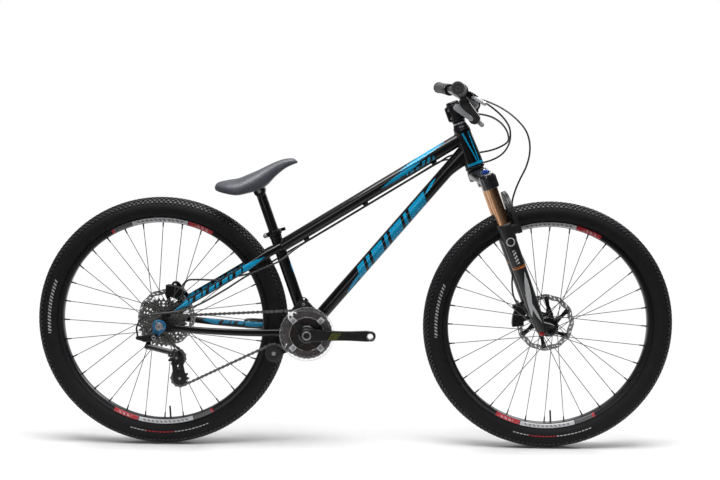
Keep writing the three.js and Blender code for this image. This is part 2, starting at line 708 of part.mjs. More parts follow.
function archShape() {
  const outer = fork.legSpread + 15;
  const foot = fork.legTop - 34;
  const outline = new THREE.Shape();
  outline.moveTo(outer, foot);
  outline.lineTo(outer, fork.legTop);
  outline.bezierCurveTo(outer, fork.archTop - 20, outer - 25, fork.archTop, 0, fork.archTop);
  outline.bezierCurveTo(25 - outer, fork.archTop, -outer, fork.archTop - 20, -outer, fork.legTop);
  outline.lineTo(-outer, foot);
  outline.lineTo(-fork.archHalf - 4, foot);
  outline.lineTo(-fork.archHalf, fork.legTop);
  outline.bezierCurveTo(-fork.archHalf, fork.archUnder - 12, -24, fork.archUnder, 0,
    fork.archUnder);
  outline.bezierCurveTo(24, fork.archUnder, fork.archHalf, fork.archUnder - 12, fork.archHalf,
    fork.legTop);
  outline.lineTo(fork.archHalf + 4, foot);
  outline.closePath();
  const depth = fork.archFront - fork.archBack;
  const geometry = new THREE.ExtrudeGeometry(outline, {
    depth, bevelEnabled: false, curveSegments: arcSteps, steps: 1,
  });
  geometry.rotateX(Math.PI / 2).rotateZ(Math.PI / 2);
  return geometry.translate(fork.archBack, 0, 0);
}

function lowersShape() {
  const bossOuter = fork.legSpread + 8 + overrun;
  let lowers = legShape(1).add(legShape(-1)).add(solid(archShape()));
  for (const low of [frontCaliper.postLow, frontCaliper.postHigh]) {
    const post = box([-frontCaliper.postBack, frontCaliper.outerFace + gap, low],
      [fork.legOffset, 70, low + frontCaliper.postHeight]);
    lowers = lowers.add(solid(post));
  }
  for (const side of [-1, 1]) {
    const knobRoom = rod(new THREE.Vector3(fork.legOffset, side * fork.legSpread, -fork.bore),
      new THREE.Vector3(fork.legOffset, side * fork.legSpread, fork.legBottom),
      rebound.radius + 1, rebound.radius + 1, small);
    lowers = lowers.subtract(solid(knobRoom));
  }
  return lowers.subtract(solid(crossRod(forkOffset, 0, -bossOuter, bossOuter,
    clearOf(frontAxle.radius))));
}

function frontAxleShape() {
  const end = fork.legSpread + 8 + gap;
  return joined(
    crossRod(forkOffset, 0, -end - 1, end + 1, frontAxle.radius),
    crossRod(forkOffset, 0, end, end + frontAxle.headLength, frontAxle.headRadius),
    crossRod(forkOffset, 0, -end - frontAxle.headLength, -end, frontAxle.headRadius),
  );
}

function rearAxleShape() {
  const face = dropoutFace - gap;
  const right = dropoutFace + dropout.thickness + hanger.thickness + 2 * gap;
  const left = dropoutFace + dropout.thickness + gap;
  const { x, z } = rearHubAt;
  return joined(
    crossRod(x, z, -right - 1, left + 1, rearAxle.radius, small),
    crossRod(x, z, -right - rearAxle.headLength, -right, rearAxle.headRadius, medium),
    crossRod(x, z, left, left + rearAxle.headLength, rearAxle.headRadius, medium),
    crossRod(x, z, -face, rearAxle.reach - face, rearAxle.collar, medium),
    crossRod(x, z, face - rearAxle.reach, face, rearAxle.collar, medium),
  );
}

// A dial with finger ribs, on a vertical axis
function knobShape(x, y, low, high, radius) {
  const outline = new THREE.Shape();
  for (let i = 0; i < 2 * knob.ribs; i += 1) {
    const angle = Math.PI * i / knob.ribs;
    const reach = i % 2 === 0 ? radius : radius - knob.rib;
    const corner = [reach * Math.cos(angle), reach * Math.sin(angle)];
    if (i === 0) {
      outline.moveTo(...corner);
    } else {
      outline.lineTo(...corner);
    }
  }
  outline.closePath();
  const options = { depth: high - low, bevelEnabled: false, steps: 1 };
  return new THREE.ExtrudeGeometry(outline, options).translate(x, y, low);
}

// Stem: steerer clamp with a split at the back, spacers under it and a cap on top
function stemShape() {
  const z = stem.barClampAt;
  const at = (height) => new THREE.Vector3(0, 0, height);
  let body = solid(rod(at(stem.clampLow), at(stem.clampTop), stem.radius));
  body = body.add(solid(rod(at(headHigh + headset.lip + gap), at(stem.clampLow + 1),
    stem.spacer + 3, stem.spacer)));
  body = body.add(solid(rod(at(stem.clampTop - 1), at(stem.clampTop + stem.capHeight),
    stem.spacer + 1)));
  body = body.add(solid(loft([
    oval(at((stem.clampLow + stem.clampTop) / 2), sideways, upright, stem.radius,
      (stem.clampTop - stem.clampLow) / 2, 8),
    oval(new THREE.Vector3(stem.reach, 0, z), sideways, upright, stem.half, stem.half, 8),
  ])));
  body = body.add(solid(crossRod(stem.reach, z, -stem.half, stem.half, stem.barShell)));
  const ears = box([-stem.boltReach, -12, stem.clampLow + 3], [0, 12, stem.clampTop - 3]);
  body = body.add(solid(ears));
  body = body.subtract(solid(box([-2 * stem.boltReach, -1.5, stem.clampLow - overrun],
    [0, 1.5, stem.clampTop - 1])));
  body = body.subtract(solid(rod(at(headHigh), at(stem.clampTop), clearOf(steerer.top))));
  body = body.subtract(solid(box([stem.reach + gap, -2 * stem.half, z - 2 * stem.half],
    [3 * stem.reach, 2 * stem.half, z + 2 * stem.half])));
  return body.subtract(solid(crossRod(stem.reach, z, -2 * stem.half, 2 * stem.half,
    clearOf(bar.clampRadius))));
}

function faceplateShape() {
  const z = stem.barClampAt;
  let body = solid(crossRod(stem.reach, z, -stem.half, stem.half, stem.barShell));
  for (const side of [-1, 1]) {
    const middle = z + side * stem.barShell;
    body = body.add(solid(box([stem.reach - 4, -stem.half, middle - 5],
      [stem.reach + 8, stem.half, middle + 5])));
  }
  body = body.subtract(solid(box([-stem.reach, -2 * stem.half, z - 2 * stem.barShell],
    [stem.reach + 2 * gap, 2 * stem.half, z + 2 * stem.barShell])));
  return body.subtract(solid(crossRod(stem.reach, z, -2 * stem.half, 2 * stem.half,
    clearOf(bar.clampRadius))));
}

// Handlebar: clamp bulge, rise and swept-back grip ends
const barRise = new THREE.Vector3(bar.riseX, bar.riseY, bar.riseZ);
const barEnd = new THREE.Vector3(bar.endX, bar.endY, bar.endZ);
const barAlong = barEnd.clone().sub(barRise).normalize();
const barEndAt = barEnd.distanceTo(barRise);

function handlebarShape() {
  const half = [
    [new THREE.Vector3(stem.reach, 0, stem.barClampAt), bar.clampRadius],
    [new THREE.Vector3(stem.reach, bar.flat, stem.barClampAt), bar.clampRadius],
    [new THREE.Vector3(stem.reach - 2, bar.flat + 16, stem.barClampAt + 5), bar.gripRadius + 3],
    [barRise.clone().lerp(new THREE.Vector3(stem.reach, bar.flat, stem.barClampAt), 0.3)
      .add(new THREE.Vector3(0, 0, 3)), bar.gripRadius],
    [barRise, bar.gripRadius],
    [barRise.clone().addScaledVector(barAlong, 20), bar.gripRadius],
    [barEnd, bar.gripRadius],
  ];
  const mirroredHalf = half.slice(1).reverse().map(([point, radius]) => (
    [new THREE.Vector3(point.x, -point.y, point.z), radius]));
  const all = [...mirroredHalf, ...half];
  const rings = all.map(([point, radius], i) => {
    const before = all[Math.max(i - 1, 0)][0];
    const after = all[Math.min(i + 1, all.length - 1)][0];
    const along = after.clone().sub(before).normalize();
    const up = new THREE.Vector3().crossVectors(along, new THREE.Vector3(1, 0, 0)).normalize();
    const ahead = new THREE.Vector3().crossVectors(up, along);
    return oval(point, ahead, up, radius, radius, medium);
  });
  return loft(rings);
}

// Controls are laid out for the left hand: +Y runs out along the bar from the top of its
// rise, and +X points the way the brake lever reaches
const leverReach = new THREE.Vector3(0.647, 0, -0.763);
leverReach.addScaledVector(barAlong, -leverReach.dot(barAlong)).normalize();
const handFrame = new THREE.Matrix4().makeBasis(leverReach, barAlong,
  new THREE.Vector3().crossVectors(leverReach, barAlong)).setPosition(barRise);

function forHand(geometry, side) {
  const placed = geometry.clone().applyMatrix4(handFrame);
  return side > 0 ? placed : mirrored(placed);
}

function gripShape() {
  const end = barEndAt + gap + grip.wall;
  const start = grip.start;
  return revolved([
    [clearOf(bar.gripRadius, medium), start], [grip.radius + 1, start], [grip.radius + 1, start + grip.ring],
    [grip.radius, start + grip.ring], [grip.radius, end - grip.ring - 1],
    [grip.radius + 1, end - grip.ring], [grip.radius + 1, end], [0, end],
    [0, barEndAt + gap], [clearOf(bar.gripRadius, medium), barEndAt + gap],
  ], medium);
}

function clampRing(at, half, radius) {
  return revolved([
    [clearOf(bar.gripRadius, medium), at - half], [radius, at - half], [radius, at + half],
    [clearOf(bar.gripRadius, medium), at + half],
  ], medium);
}

function brakeBodyShape() {
  const inner = lever.thickness / 2 + gap;
  const outer = inner + lever.lug;
  const at = brakeClamp.at;
  const hub = lever.hub + 1;
  let body = solid(clampRing(at, brakeClamp.half, brakeClamp.radius));
  const arm = box([brakeClamp.radius - 4, at - 11, -outer], [lever.pivotX - hub - 1, at + 6, outer]);
  body = body.add(solid(arm));
  const lugTop = box([brakeClamp.radius, at - 8, inner], [lever.pivotX + hub, at + 8, outer]);
  const lugLow = box([brakeClamp.radius, at - 8, -outer], [lever.pivotX + hub, at + 8, -inner]);
  body = body.add(solid(lugTop)).add(solid(lugLow));
  const tank = crossRod(master.x - 4, 0, master.from, at - lever.hub - 2.5, master.radius, medium);
  const port = crossRod(master.x - 4, 0, master.from - 12, master.from + 1, 4, small);
  return body.add(solid(tank)).add(solid(port));
}

// The lever's curved blade runs out past the grip, on its pivot hub
function leverShape() {
  const x = lever.pivotX;
  const y = brakeClamp.at;
  const half = lever.thickness / 2;
  const hub = rod(new THREE.Vector3(x, y, -half), new THREE.Vector3(x, y, half), lever.hub,
    lever.hub, medium);
  const route = new THREE.CatmullRomCurve3([
    [x, y], [lever.pivotX + 14, y + 20], [lever.reach - 6, y + 42], [lever.reach, y + 75],
    [lever.reach - 2, y + 105], [lever.reach + 4, y + lever.span],
  ].map(([ahead, out]) => new THREE.Vector3(ahead, out, 0)));
  const blade = ovalTube(route, 8, 6, () => lever.bladeHalf * 0.8, () => lever.bladeHalf * 0.9);
  const bladeSolid = solid(blade);
  return solid(hub).add(bladeSolid);
}

// Shifter: a clamp round the bar and a rounded pod that hangs under it
function shifterShape() {
  const low = shifter.clampAt - shifter.width;
  const pod = plate(strap(shifter.nearX, shifter.nearZ, shifter.nearHalf, shifter.farX,
    shifter.farZ, shifter.farHalf), low, shifter.clampAt);
  const bridge = plate(strap(0, 0, shifter.bridgeHalf, shifter.nearX, shifter.nearZ,
    shifter.bridgeHalf + 1), shifter.clampAt - shifter.clampHalf, shifter.clampAt);
  const ring = clampRing(shifter.clampAt, shifter.clampHalf, shifter.clampRadius);
  const bore = crossRod(0, 0, 0, 2 * shifter.clampAt, clearOf(bar.gripRadius, medium), medium);
  return solid(pod).add(solid(bridge)).add(solid(ring)).subtract(solid(bore));
}

function paddleShape(sizes, low) {
  const tipX = sizes.pivotX + sizes.length * Math.cos(rad(sizes.angle));
  const tipZ = sizes.pivotZ + sizes.length * Math.sin(rad(sizes.angle));
  return plate(strap(sizes.pivotX, sizes.pivotZ, sizes.hub, tipX, tipZ, sizes.tip),
    low, low + sizes.thickness);
}

// Caliper: an arc-shaped block over the disc's edge, slotted for the disc and its pads
function caliperShape(centreX, centreZ, discAt, { angle, span, width, outerFace }) {
  const half = rad(span / 2);
  const middle = rad(angle);
  const outline = new THREE.Shape();
  outline.absarc(centreX, centreZ, caliper.outer, middle - half, middle + half, false);
  outline.absarc(centreX, centreZ, caliper.inner, middle + half, middle - half, true);
  outline.closePath();
  const body = solid(plate(outline, outerFace - width, outerFace));
  const slot = crossRod(centreX, centreZ, discAt - caliper.slot / 2, discAt + caliper.slot / 2,
    caliper.reach, 32);
  return body.subtract(solid(slot));
}

// Sprocket outline with flat-bottomed gullets, the first of them centred on the phase angle
function toothedOutline(teeth, phase) {
  const pitchRadius = chain.pitch / 2 / Math.sin(Math.PI / teeth);
  const root = pitchRadius - tooth.root;
  const tip = pitchRadius + tooth.tip;
  const corners = [];
  for (let i = 0; i < teeth; i += 1) {
    const middle = phase + 2 * Math.PI * (i + 0.5) / teeth;
    for (const [radius, turn] of [[root, -tooth.rootHalf / root], [tip, 0],
      [root, tooth.rootHalf / root]]) {
      corners.push(new THREE.Vector2(
        radius * Math.cos(middle + turn), radius * Math.sin(middle + turn)));
    }
  }
  return new THREE.Shape(corners);
}

// A plainer outline for the large cogs that carry no chain: one point per tooth and gullet
function idleOutline(teeth) {
  const pitchRadius = chain.pitch / 2 / Math.sin(Math.PI / teeth);
  const outline = new THREE.Shape();
  for (let i = 0; i < 2 * teeth; i += 1) {
    const radius = i % 2 === 0 ? pitchRadius + tooth.tip : pitchRadius - tooth.root;
    const angle = Math.PI * i / teeth;
    const corner = [radius * Math.cos(angle), radius * Math.sin(angle)];
    if (i === 0) {
      outline.moveTo(...corner);
    } else {
      outline.lineTo(...corner);
    }
  }
  outline.closePath();
  return outline;
}

function pitchRadiusOf(teeth) {
  return chain.pitch / 2 / Math.sin(Math.PI / teeth);
}

// The chain's path: circles it wraps, each with the way it turns (+1 is anticlockwise,
// seen from the right side of the bike)
const wraps = [
  { x: rearHubAt.x, z: rearHubAt.z, radius: pitchRadiusOf(cogTeeth[0]), turn: -1 },
  { x: crankAt.x, z: crankAt.z, radius: pitchRadiusOf(chainring.teeth), turn: -1 },
  { x: slide.x, z: slide.z, radius: slide.radius + chain.height + chain.wrapPlay, turn: 1 },
  { x: lowerPulleyAt.x, z: lowerPulleyAt.z, radius: pitchRadiusOf(pulley.teeth), turn: -1 },
  { x: upperPulleyAt.x, z: upperPulleyAt.z, radius: pitchRadiusOf(pulley.teeth), turn: 1 },
];

function tangent(a, b) {
  const heading = Math.atan2(b.z - a.z, b.x - a.x);
  const lean = Math.asin((a.turn * a.radius - b.turn * b.radius)
    / Math.hypot(b.x - a.x, b.z - a.z));
  const angle = heading + lean;
  const touch = (c) => ({
    x: c.x + c.turn * c.radius * Math.sin(angle),
    z: c.z - c.turn * c.radius * Math.cos(angle),
  });
  return { from: touch(a), to: touch(b) };
}

function chainPath() {
  const lines = wraps.map((wrap, i) => tangent(wrap, wraps[(i + 1) % wraps.length]));
  const pieces = [];
  wraps.forEach((wrap, i) => {
    const arrive = lines[(i + wraps.length - 1) % wraps.length].to;
    const leave = lines[i].from;
    const start = Math.atan2(arrive.z - wrap.z, arrive.x - wrap.x);
    const end = Math.atan2(leave.z - wrap.z, leave.x - wrap.x);
    const full = 2 * Math.PI;
    const sweep = wrap.turn * (((wrap.turn * (end - start)) % full + full) % full);
    pieces.push({ wrap, start, sweep, length: Math.abs(sweep) * wrap.radius });
    const { from, to } = lines[i];
    pieces.push({ from, to, length: Math.hypot(to.x - from.x, to.z - from.z) });
  });
  return pieces;
}

const path = chainPath();
const pathLength = path.reduce((sum, piece) => sum + piece.length, 0);
const linkCount = 2 * Math.round(pathLength / chain.pitch / 2);
const linkStep = pathLength / linkCount;

function pinAt(distance) {
  let left = distance % pathLength;
  for (const piece of path) {
    if (left <= piece.length) {
      const share = left / piece.length;
      if (piece.wrap) {
        const angle = piece.start + piece.sweep * share;
        const { x, z, radius } = piece.wrap;
        return new THREE.Vector2(x + radius * Math.cos(angle), z + radius * Math.sin(angle));
      }
      const { from, to } = piece;
      return new THREE.Vector2(from.x + (to.x - from.x) * share, from.z + (to.z - from.z) * share);
    }
    left -= piece.length;
  }
  return pinAt(0);
}

// The angle of the pin nearest the middle of a sprocket's wrap, where a gullet belongs
function gulletPhase(index) {
  const before = path.slice(0, 2 * index).reduce((sum, piece) => sum + piece.length, 0);
  const middle = before + path[2 * index].length / 2;
  const pin = pinAt(Math.round(middle / linkStep) * linkStep);
  return Math.atan2(pin.y - wraps[index].z, pin.x - wraps[index].x);
}

// Chain: a strip of plates on each side, bent at every pin, with rollers between them
function chainShape() {
  const pins = [];
  for (let i = 0; i < linkCount; i += 1) {
    pins.push(pinAt(i * linkStep));
  }
  const bends = pins.map((pin, i) => {
    const before = pins[(i + linkCount - 1) % linkCount];
    const after = pins[(i + 1) % linkCount];
    const turn = pin.clone().sub(before).cross(after.clone().sub(pin));
    return { pin, turn, along: after.clone().sub(before).normalize() };
  }).filter(({ turn }) => Math.abs(turn) > chain.straight);
  const inner = chain.innerWidth / 2;
  const outer = inner + chain.plate;
  const strip = (low, high) => {
    const points = [];
    const faces = [];
    bends.forEach(({ pin, along }, i) => {
      for (const [side, y] of [[-1, low], [1, low], [1, high], [-1, high]]) {
        const reach = side * chain.height;
        points.push(new THREE.Vector3(pin.x - reach * along.y, y, pin.y + reach * along.x));
      }
      for (let corner = 0; corner < 4; corner += 1) {
        const a = 4 * i + corner;
        const b = 4 * i + (corner + 1) % 4;
        const c = (a + 4) % (4 * bends.length);
        const d = (b + 4) % (4 * bends.length);
        faces.push(a, b, c, b, d, c);
      }
    });
    const geometry = new THREE.BufferGeometry().setFromPoints(points);
    geometry.setIndex(faces);
    return solid(outward(geometry));
  };
  const reach = inner + chain.overlap;
  const rollers = pins.map((pin) => solid(crossRod(pin.x, pin.y, -reach - chainLine,
    reach - chainLine, chain.roller, 3)));
  return wasm.Manifold.union([
    strip(inner - chainLine, outer - chainLine),
    strip(-outer - chainLine, -inner - chainLine),
    ...rollers,
  ]);
}

function cassetteShape() {
  const half = tooth.thickness / 2;
  const cog = plate(toothedOutline(cogTeeth[0], gulletPhase(0)), -half, half);
  let body = solid(cog.translate(rearHubAt.x, -chainLine, rearHubAt.z));
  cogTeeth.slice(1).forEach((teeth, i) => {
    const outline = teeth < plainBelow ? polygon(pitchRadiusOf(teeth), medium) : idleOutline(teeth);
    const shape = plate(outline, -half, half);
    const at = (i + 1) * cogPitch - chainLine;
    body = body.add(solid(shape.translate(rearHubAt.x, at, rearHubAt.z)));
  });
  const inner = rearHub.driveFlangeAt + rearHub.flangeHalf + gap;
  const { x, z } = rearHubAt;
  body = body.add(solid(crossRod(x, z, -cassetteBody.end, -inner, cassetteBody.radius, small)));
  return body.subtract(solid(crossRod(x, z, -cassetteBody.end - overrun, overrun,
    clearOf(rearAxle.radius, small), small)));
}

function chainringShape() {
  const half = tooth.thickness / 2;
  const outline = toothedOutline(chainring.teeth, gulletPhase(1));
  outline.holes.push(polygon(chainring.inner, round));
  const ring = plate(outline, -half - chainLine, half - chainLine);
  return ring.translate(crankAt.x, 0, crankAt.z);
}

function guardShape() {
  const inner = chainLine + tooth.thickness / 2 + crank.spider + 2 * gap;
  const outline = polygon(guard.radius, tyre.count);
  outline.holes.push(polygon(guard.inner, round));
  return plate(outline, -inner - guard.thickness, -inner).translate(crankAt.x, 0, crankAt.z);
}

// Right crank: a four-armed spider behind the arm, on the end of the spindle
function rightCrankShape() {
  const { x, z } = crankAt;
  const spiderInner = chainLine + tooth.thickness / 2 + gap;
  const spiderOuter = spiderInner + crank.spider;
  const armInner = crank.outer - crank.thickness;
  const eyeX = x + crank.length;
  let body = solid(plate(strap(x, z, crank.bossRadius, eyeX, z, crank.endRadius),
    -crank.outer, -armInner));
  body = body.add(solid(crossRod(x, z, -armInner - 1, -spiderInner, crank.bossRadius + 6)));
  for (let i = 0; i < 4; i += 1) {
    const angle = Math.PI / 4 + i * Math.PI / 2;
    const tipX = x + chainring.boltCircle * Math.cos(angle);
    const tipZ = z + chainring.boltCircle * Math.sin(angle);
    body = body.add(solid(plate(strap(x, z, crank.bossRadius, tipX, tipZ, chainring.tab),
      -spiderOuter, -spiderInner, 3)));
  }
  body = body.add(solid(crossRod(x, z, -crank.outer + 1, crank.outer - crank.thickness - gap,
    crank.spindle)));
  return body.subtract(solid(crossRod(eyeX, z, -crank.outer - overrun, -armInner + overrun,
    crank.eye, medium)));
}

function leftCrankShape() {
  const { x, z } = crankAt;
  const armInner = crank.outer - crank.thickness;
  const eyeX = x - crank.length;
  const arm = solid(plate(strap(x, z, crank.bossRadius, eyeX, z, crank.endRadius),
    armInner, crank.outer));
  const collarRing = crossRod(x, z, shell.half + shell.cupLength + gap, armInner + 1,
    crank.bossRadius);
  return arm.add(solid(collarRing))
    .subtract(solid(crossRod(x, z, shell.half, armInner + gap, clearOf(crank.spindle))))
    .subtract(solid(crossRod(eyeX, z, armInner - overrun, crank.outer + overrun,
      crank.eye, medium)));
}

// Chain guide: a plate round the bottom bracket cup, with a block above the ring and a
// curved slide that lifts the lower run of the chain
function chainGuideShape() {
  const { x, z } = crankAt;
  const high = -guidePlate.at + guidePlate.thickness;
  const low = -guidePlate.at;
  const reach = -chainLine - chain.innerWidth / 2 - chain.plate - 2 * gap;
  let body = solid(plate(strap(x, z, shell.cup + 8, slide.x, slide.z, guidePlate.armRadius),
    low, high));
  body = body.add(solid(plate(strap(x, z, shell.cup + 8, guidePlate.boltX, guidePlate.boltZ,
    guidePlate.tab), low, high)));
  body = body.add(solid(box([guidePlate.blockBack, reach, guidePlate.blockLow],
    [guidePlate.blockFront, high, guidePlate.blockHigh])));
  body = body.add(solid(crossRod(slide.x, slide.z, reach - slide.cover, high, slide.radius)));
  body = body.add(solid(crossRod(slide.x, slide.z, reach - slide.cover, reach,
    slide.radius + chain.height)));
  return body.subtract(solid(crossRod(x, z, -2 * shell.half, 0, clearOf(shell.cup))));
}

// Derailleur: a knuckle on the hanger, a slanted link and a knuckle that carries the cage
const linkAlong = new THREE.Vector3(Math.cos(rad(mech.linkSlope)), 0,
  -Math.sin(rad(mech.linkSlope)));
const linkNormal = new THREE.Vector3(-linkAlong.z, 0, linkAlong.x);
const linkAxis = linkNormal.clone().multiplyScalar(Math.cos(rad(mech.slant)))
  .addScaledVector(sideways, Math.sin(rad(mech.slant)));
const linkInward = new THREE.Vector3().crossVectors(linkAxis, linkAlong);
const linkRear = new THREE.Vector3(mech.linkX, mech.linkY, mech.linkZ);
const linkFront = linkRear.clone()
  .addScaledVector(linkAlong, mech.linkLength * Math.cos(rad(mech.swing)))
  .addScaledVector(linkInward, -mech.linkLength * Math.sin(rad(mech.swing)));

function pinAlong(centre, low, high, radius) {
  return rod(centre.clone().addScaledVector(linkAxis, low),
    centre.clone().addScaledVector(linkAxis, high), radius, radius, small);
}

function derailleurBodyShape() {
  const face = dropoutFace + dropout.thickness + hanger.thickness + 2 * gap;
  const low = -face - mech.bodyDepth;
  const lugTop = linkRear.clone().addScaledVector(linkAxis, mech.linkTall + mech.lug);
  const joint = new THREE.Vector3(mech.rearX, low + mech.linkEnd, mech.rearZ);
  return joined(
    plate(strap(hanger.boltX, hanger.boltZ, mech.bodyRadius + 1, mech.rearX,
      mech.rearZ, mech.bodyRadius), low, -face),
    plate(strap(mech.rearX, mech.rearZ, mech.bodyRadius - 1, mech.stopX, mech.stopZ,
      mech.stopRadius), low + 1, -face),
    pinAlong(linkRear, mech.linkTall + gap, mech.linkTall + mech.lug, mech.linkEnd),
    rod(lugTop, joint, mech.linkEnd - 2, mech.linkEnd - 1, small),
  ).subtract(solid(pinAlong(linkRear, -mech.linkLength, mech.linkTall + gap,
    mech.linkEnd + 2)));
}

function derailleurLinkShape() {
  const tall = mech.linkTall;
  const along = linkFront.clone().sub(linkRear).normalize();
  const across = new THREE.Vector3().crossVectors(linkAxis, along);
  const rings = [0, 1].map((share) => {
    const centre = linkRear.clone().lerp(linkFront, share);
    return [[-1, -1], [1, -1], [1, 1], [-1, 1]].map(([side, up]) => centre.clone()
      .addScaledVector(across, side * mech.linkHalf)
      .addScaledVector(linkAxis, up * (tall - 1)));
  });
  return joined(loft(rings), pinAlong(linkRear, -tall, tall, mech.linkEnd),
    pinAlong(linkFront, -tall, tall, mech.linkEnd));
}

function derailleurKnuckleShape() {
  const barrel = crossRod(mech.cageX, mech.cageZ, -mech.barrelFrom, -mech.barrelTo, mech.barrel,
    medium);
  const lugTop = linkFront.clone().addScaledVector(linkAxis, -mech.linkTall - gap);
  const lugLow = linkFront.clone().addScaledVector(linkAxis, -mech.linkTall - gap - mech.lug);
  const lug = rod(lugLow, lugTop, mech.linkEnd, mech.linkEnd, small);
  const neck = rod(lugLow.clone().lerp(lugTop, 0.45),
    new THREE.Vector3(mech.cageX, -mech.barrelFrom + 6, mech.cageZ - 3), 2.6, 7, small);
  return joined(barrel, lug, neck).subtract(solid(pinAlong(linkFront, -mech.linkTall - gap,
    mech.linkTall + 20, mech.linkEnd + 6)));
}

function cageShape() {
  const { x: ux, z: uz } = upperPulleyAt;
  const { x: lx, z: lz } = lowerPulleyAt;
  const outerLow = -cage.outerAt;
  const innerLow = -cage.innerAt - cage.thickness;
  const body = solid(plate(strap(ux, uz, cage.radius, lx, lz, cage.radius),
    outerLow, outerLow + cage.thickness));
  return body
    .add(solid(plate(strap(ux, uz, cage.radius, mech.cageX, mech.cageZ, mech.barrel),
      outerLow, outerLow + cage.thickness)))
    .add(solid(plate(strap(ux, uz, cage.radius - 2, lx, lz, cage.radius - 2),
      innerLow, innerLow + cage.thickness)))
    .add(solid(crossRod(ux, uz, outerLow + 1, innerLow + 1, cage.pin, small)))
    .add(solid(crossRod(lx, lz, outerLow + 1, innerLow + 1, cage.pin, small)));
}

function pulleyShape(index, at) {
  const half = tooth.thickness / 2;
  const wheelPlate = plate(toothedOutline(pulley.teeth, gulletPhase(index)), -half, half);
  const hub = crossRod(0, 0, -3 * half, 3 * half, pulley.hub);
  const bore = crossRod(0, 0, -overrun - 3 * half, overrun + 3 * half, pulley.bore, small);
  const body = joined(wheelPlate, hub).subtract(solid(bore));
  return body.translate(at.x, -chainLine, at.z);
}

// Seat post, clamp and saddle, in the seat frame: +Z up the seat tube from the crank
function seatPostShape() {
  const shaft = rod(new THREE.Vector3(0, 0, seatPost.low), new THREE.Vector3(0, 0, seatPost.headAt),
    seatPost.radius, seatPost.radius);
  const head = crossRod(0, seatPost.headAt, -seatPost.headHalf, seatPost.headHalf,
    seatPost.headRadius, 2 * round);
  return joined(shaft, head);
}

function collarShape() {
  const low = seatTube.length - collar.height - 1;
  const ring = revolved([
    [clearOf(seatTube.radius), low], [collar.radius, low], [collar.radius, low + collar.height],
    [clearOf(seatTube.radius), low + collar.height],
  ], round).rotateX(Math.PI / 2);
  const ears = box([-collar.lug, -collar.earHalf, low + 1],
    [-seatTube.radius - 1, collar.earHalf, low + collar.height - 1]);
  const slit = box([-2 * collar.lug, -1, low - overrun], [-seatTube.radius - gap, 1,
    low + collar.height + overrun]);
  const slitStop = box([-collar.lug, -collar.earHalf, low + 1], [3 - collar.lug,
    collar.earHalf, low + collar.height - 1]);
  const nut = crossRod(-collar.lug + 6, low + collar.height / 2, -collar.ear - 3, collar.ear,
    collar.skewer + 1.5, small);
  return joined(ring, ears).subtract(solid(slit)).add(solid(slitStop)).add(solid(nut))
    .subtract(solid(rod(new THREE.Vector3(0, 0, low - overrun),
      new THREE.Vector3(0, 0, low + 2 * collar.height), clearOf(seatTube.radius))));
}

function clampLeverShape() {
  const middle = seatTube.length - collar.height / 2 - 1;
  const x = -collar.lug + 6;
  const y = collar.ear + gap;
  const half = collar.height / 2 - 2;
  const cam = rod(new THREE.Vector3(x, y + 6, middle - half), new THREE.Vector3(x, y + 6,
    middle + half), 6 - gap, 6 - gap, 12);
  const curve = new THREE.CatmullRomCurve3([
    new THREE.Vector3(x, y + 6, middle), new THREE.Vector3(x + 18, y + 11, middle),
    new THREE.Vector3(x + 38, y + 9, middle), new THREE.Vector3(x + 55, y + 4, middle),
  ]);
  const blade = ovalTube(curve, 6, 8, () => 2.6, () => half - 0.5);
  return joined(cam, blade);
}

// Saddle: side profile and half width at stations from the tail to the nose, in the
// bike's frame; it is lofted, then cleared round the post's head
function saddleShape() {
  const stations = [
    [-384, 712, 704, 8], [-376, 720, 698, 34], [-350, 727, 691, 58], [-320, 732.5, 687, 66],
    [-292, 744, 692, 62], [-267, 755, 699, 50], [-243, 767, 712, 36], [-217, 779.5, 740, 25],
    [-190, 787.5, 762, 20], [-170, 787.5, 772, 15], [-160, 781, 776, 6],
  ];
  const rings = stations.map(([x, top, under, half]) => {
    const middle = new THREE.Vector3(x, 0, under);
    const ring = [];
    const crown = top - under;
    const profile = [[1, 0.25], [0.9, 0.62], [0.62, 0.9], [0.22, 1], [-0.22, 1], [-0.62, 0.9],
      [-0.9, 0.62], [-1, 0.25], [-0.93, 0.02], [-0.5, 0.12], [0.5, 0.12], [0.93, 0.02]];
    for (const [side, rise] of profile) {
      ring.push(middle.clone().add(new THREE.Vector3(0, side * half, rise * crown)));
    }
    return ring;
  });
  const head = onSeat(seatPost.headAt);
  const play = saddle.pocketPlay;
  const pocket = crossRod(head.x, head.z, -seatPost.headHalf - play, seatPost.headHalf + play,
    clearOf(seatPost.headRadius), 2 * round);
  const throat = box([head.x - 24, -seatPost.headHalf - play, head.z - 60],
    [head.x + 27, seatPost.headHalf + play, head.z]);
  return solid(loft(rings)).subtract(solid(pocket)).subtract(solid(throat));
}

// A hose along hand-chosen points in the bike's frame
function hoseShape(points, steps) {
  const curve = new THREE.CatmullRomCurve3(points.map(([x, y, z]) => new THREE.Vector3(x, y, z)));
  const section = new THREE.Shape();
  for (let i = 0; i < hose.sides; i += 1) {
    const angle = 2 * Math.PI * i / hose.sides;
    const corner = [hose.radius * Math.cos(angle), hose.radius * Math.sin(angle)];
    if (i === 0) {
      section.moveTo(...corner);
    } else {
      section.lineTo(...corner);
    }
  }
  section.closePath();
  const options = { steps, extrudePath: curve, bevelEnabled: false };
  return outward(welded(new THREE.ExtrudeGeometry(section, options)));
}

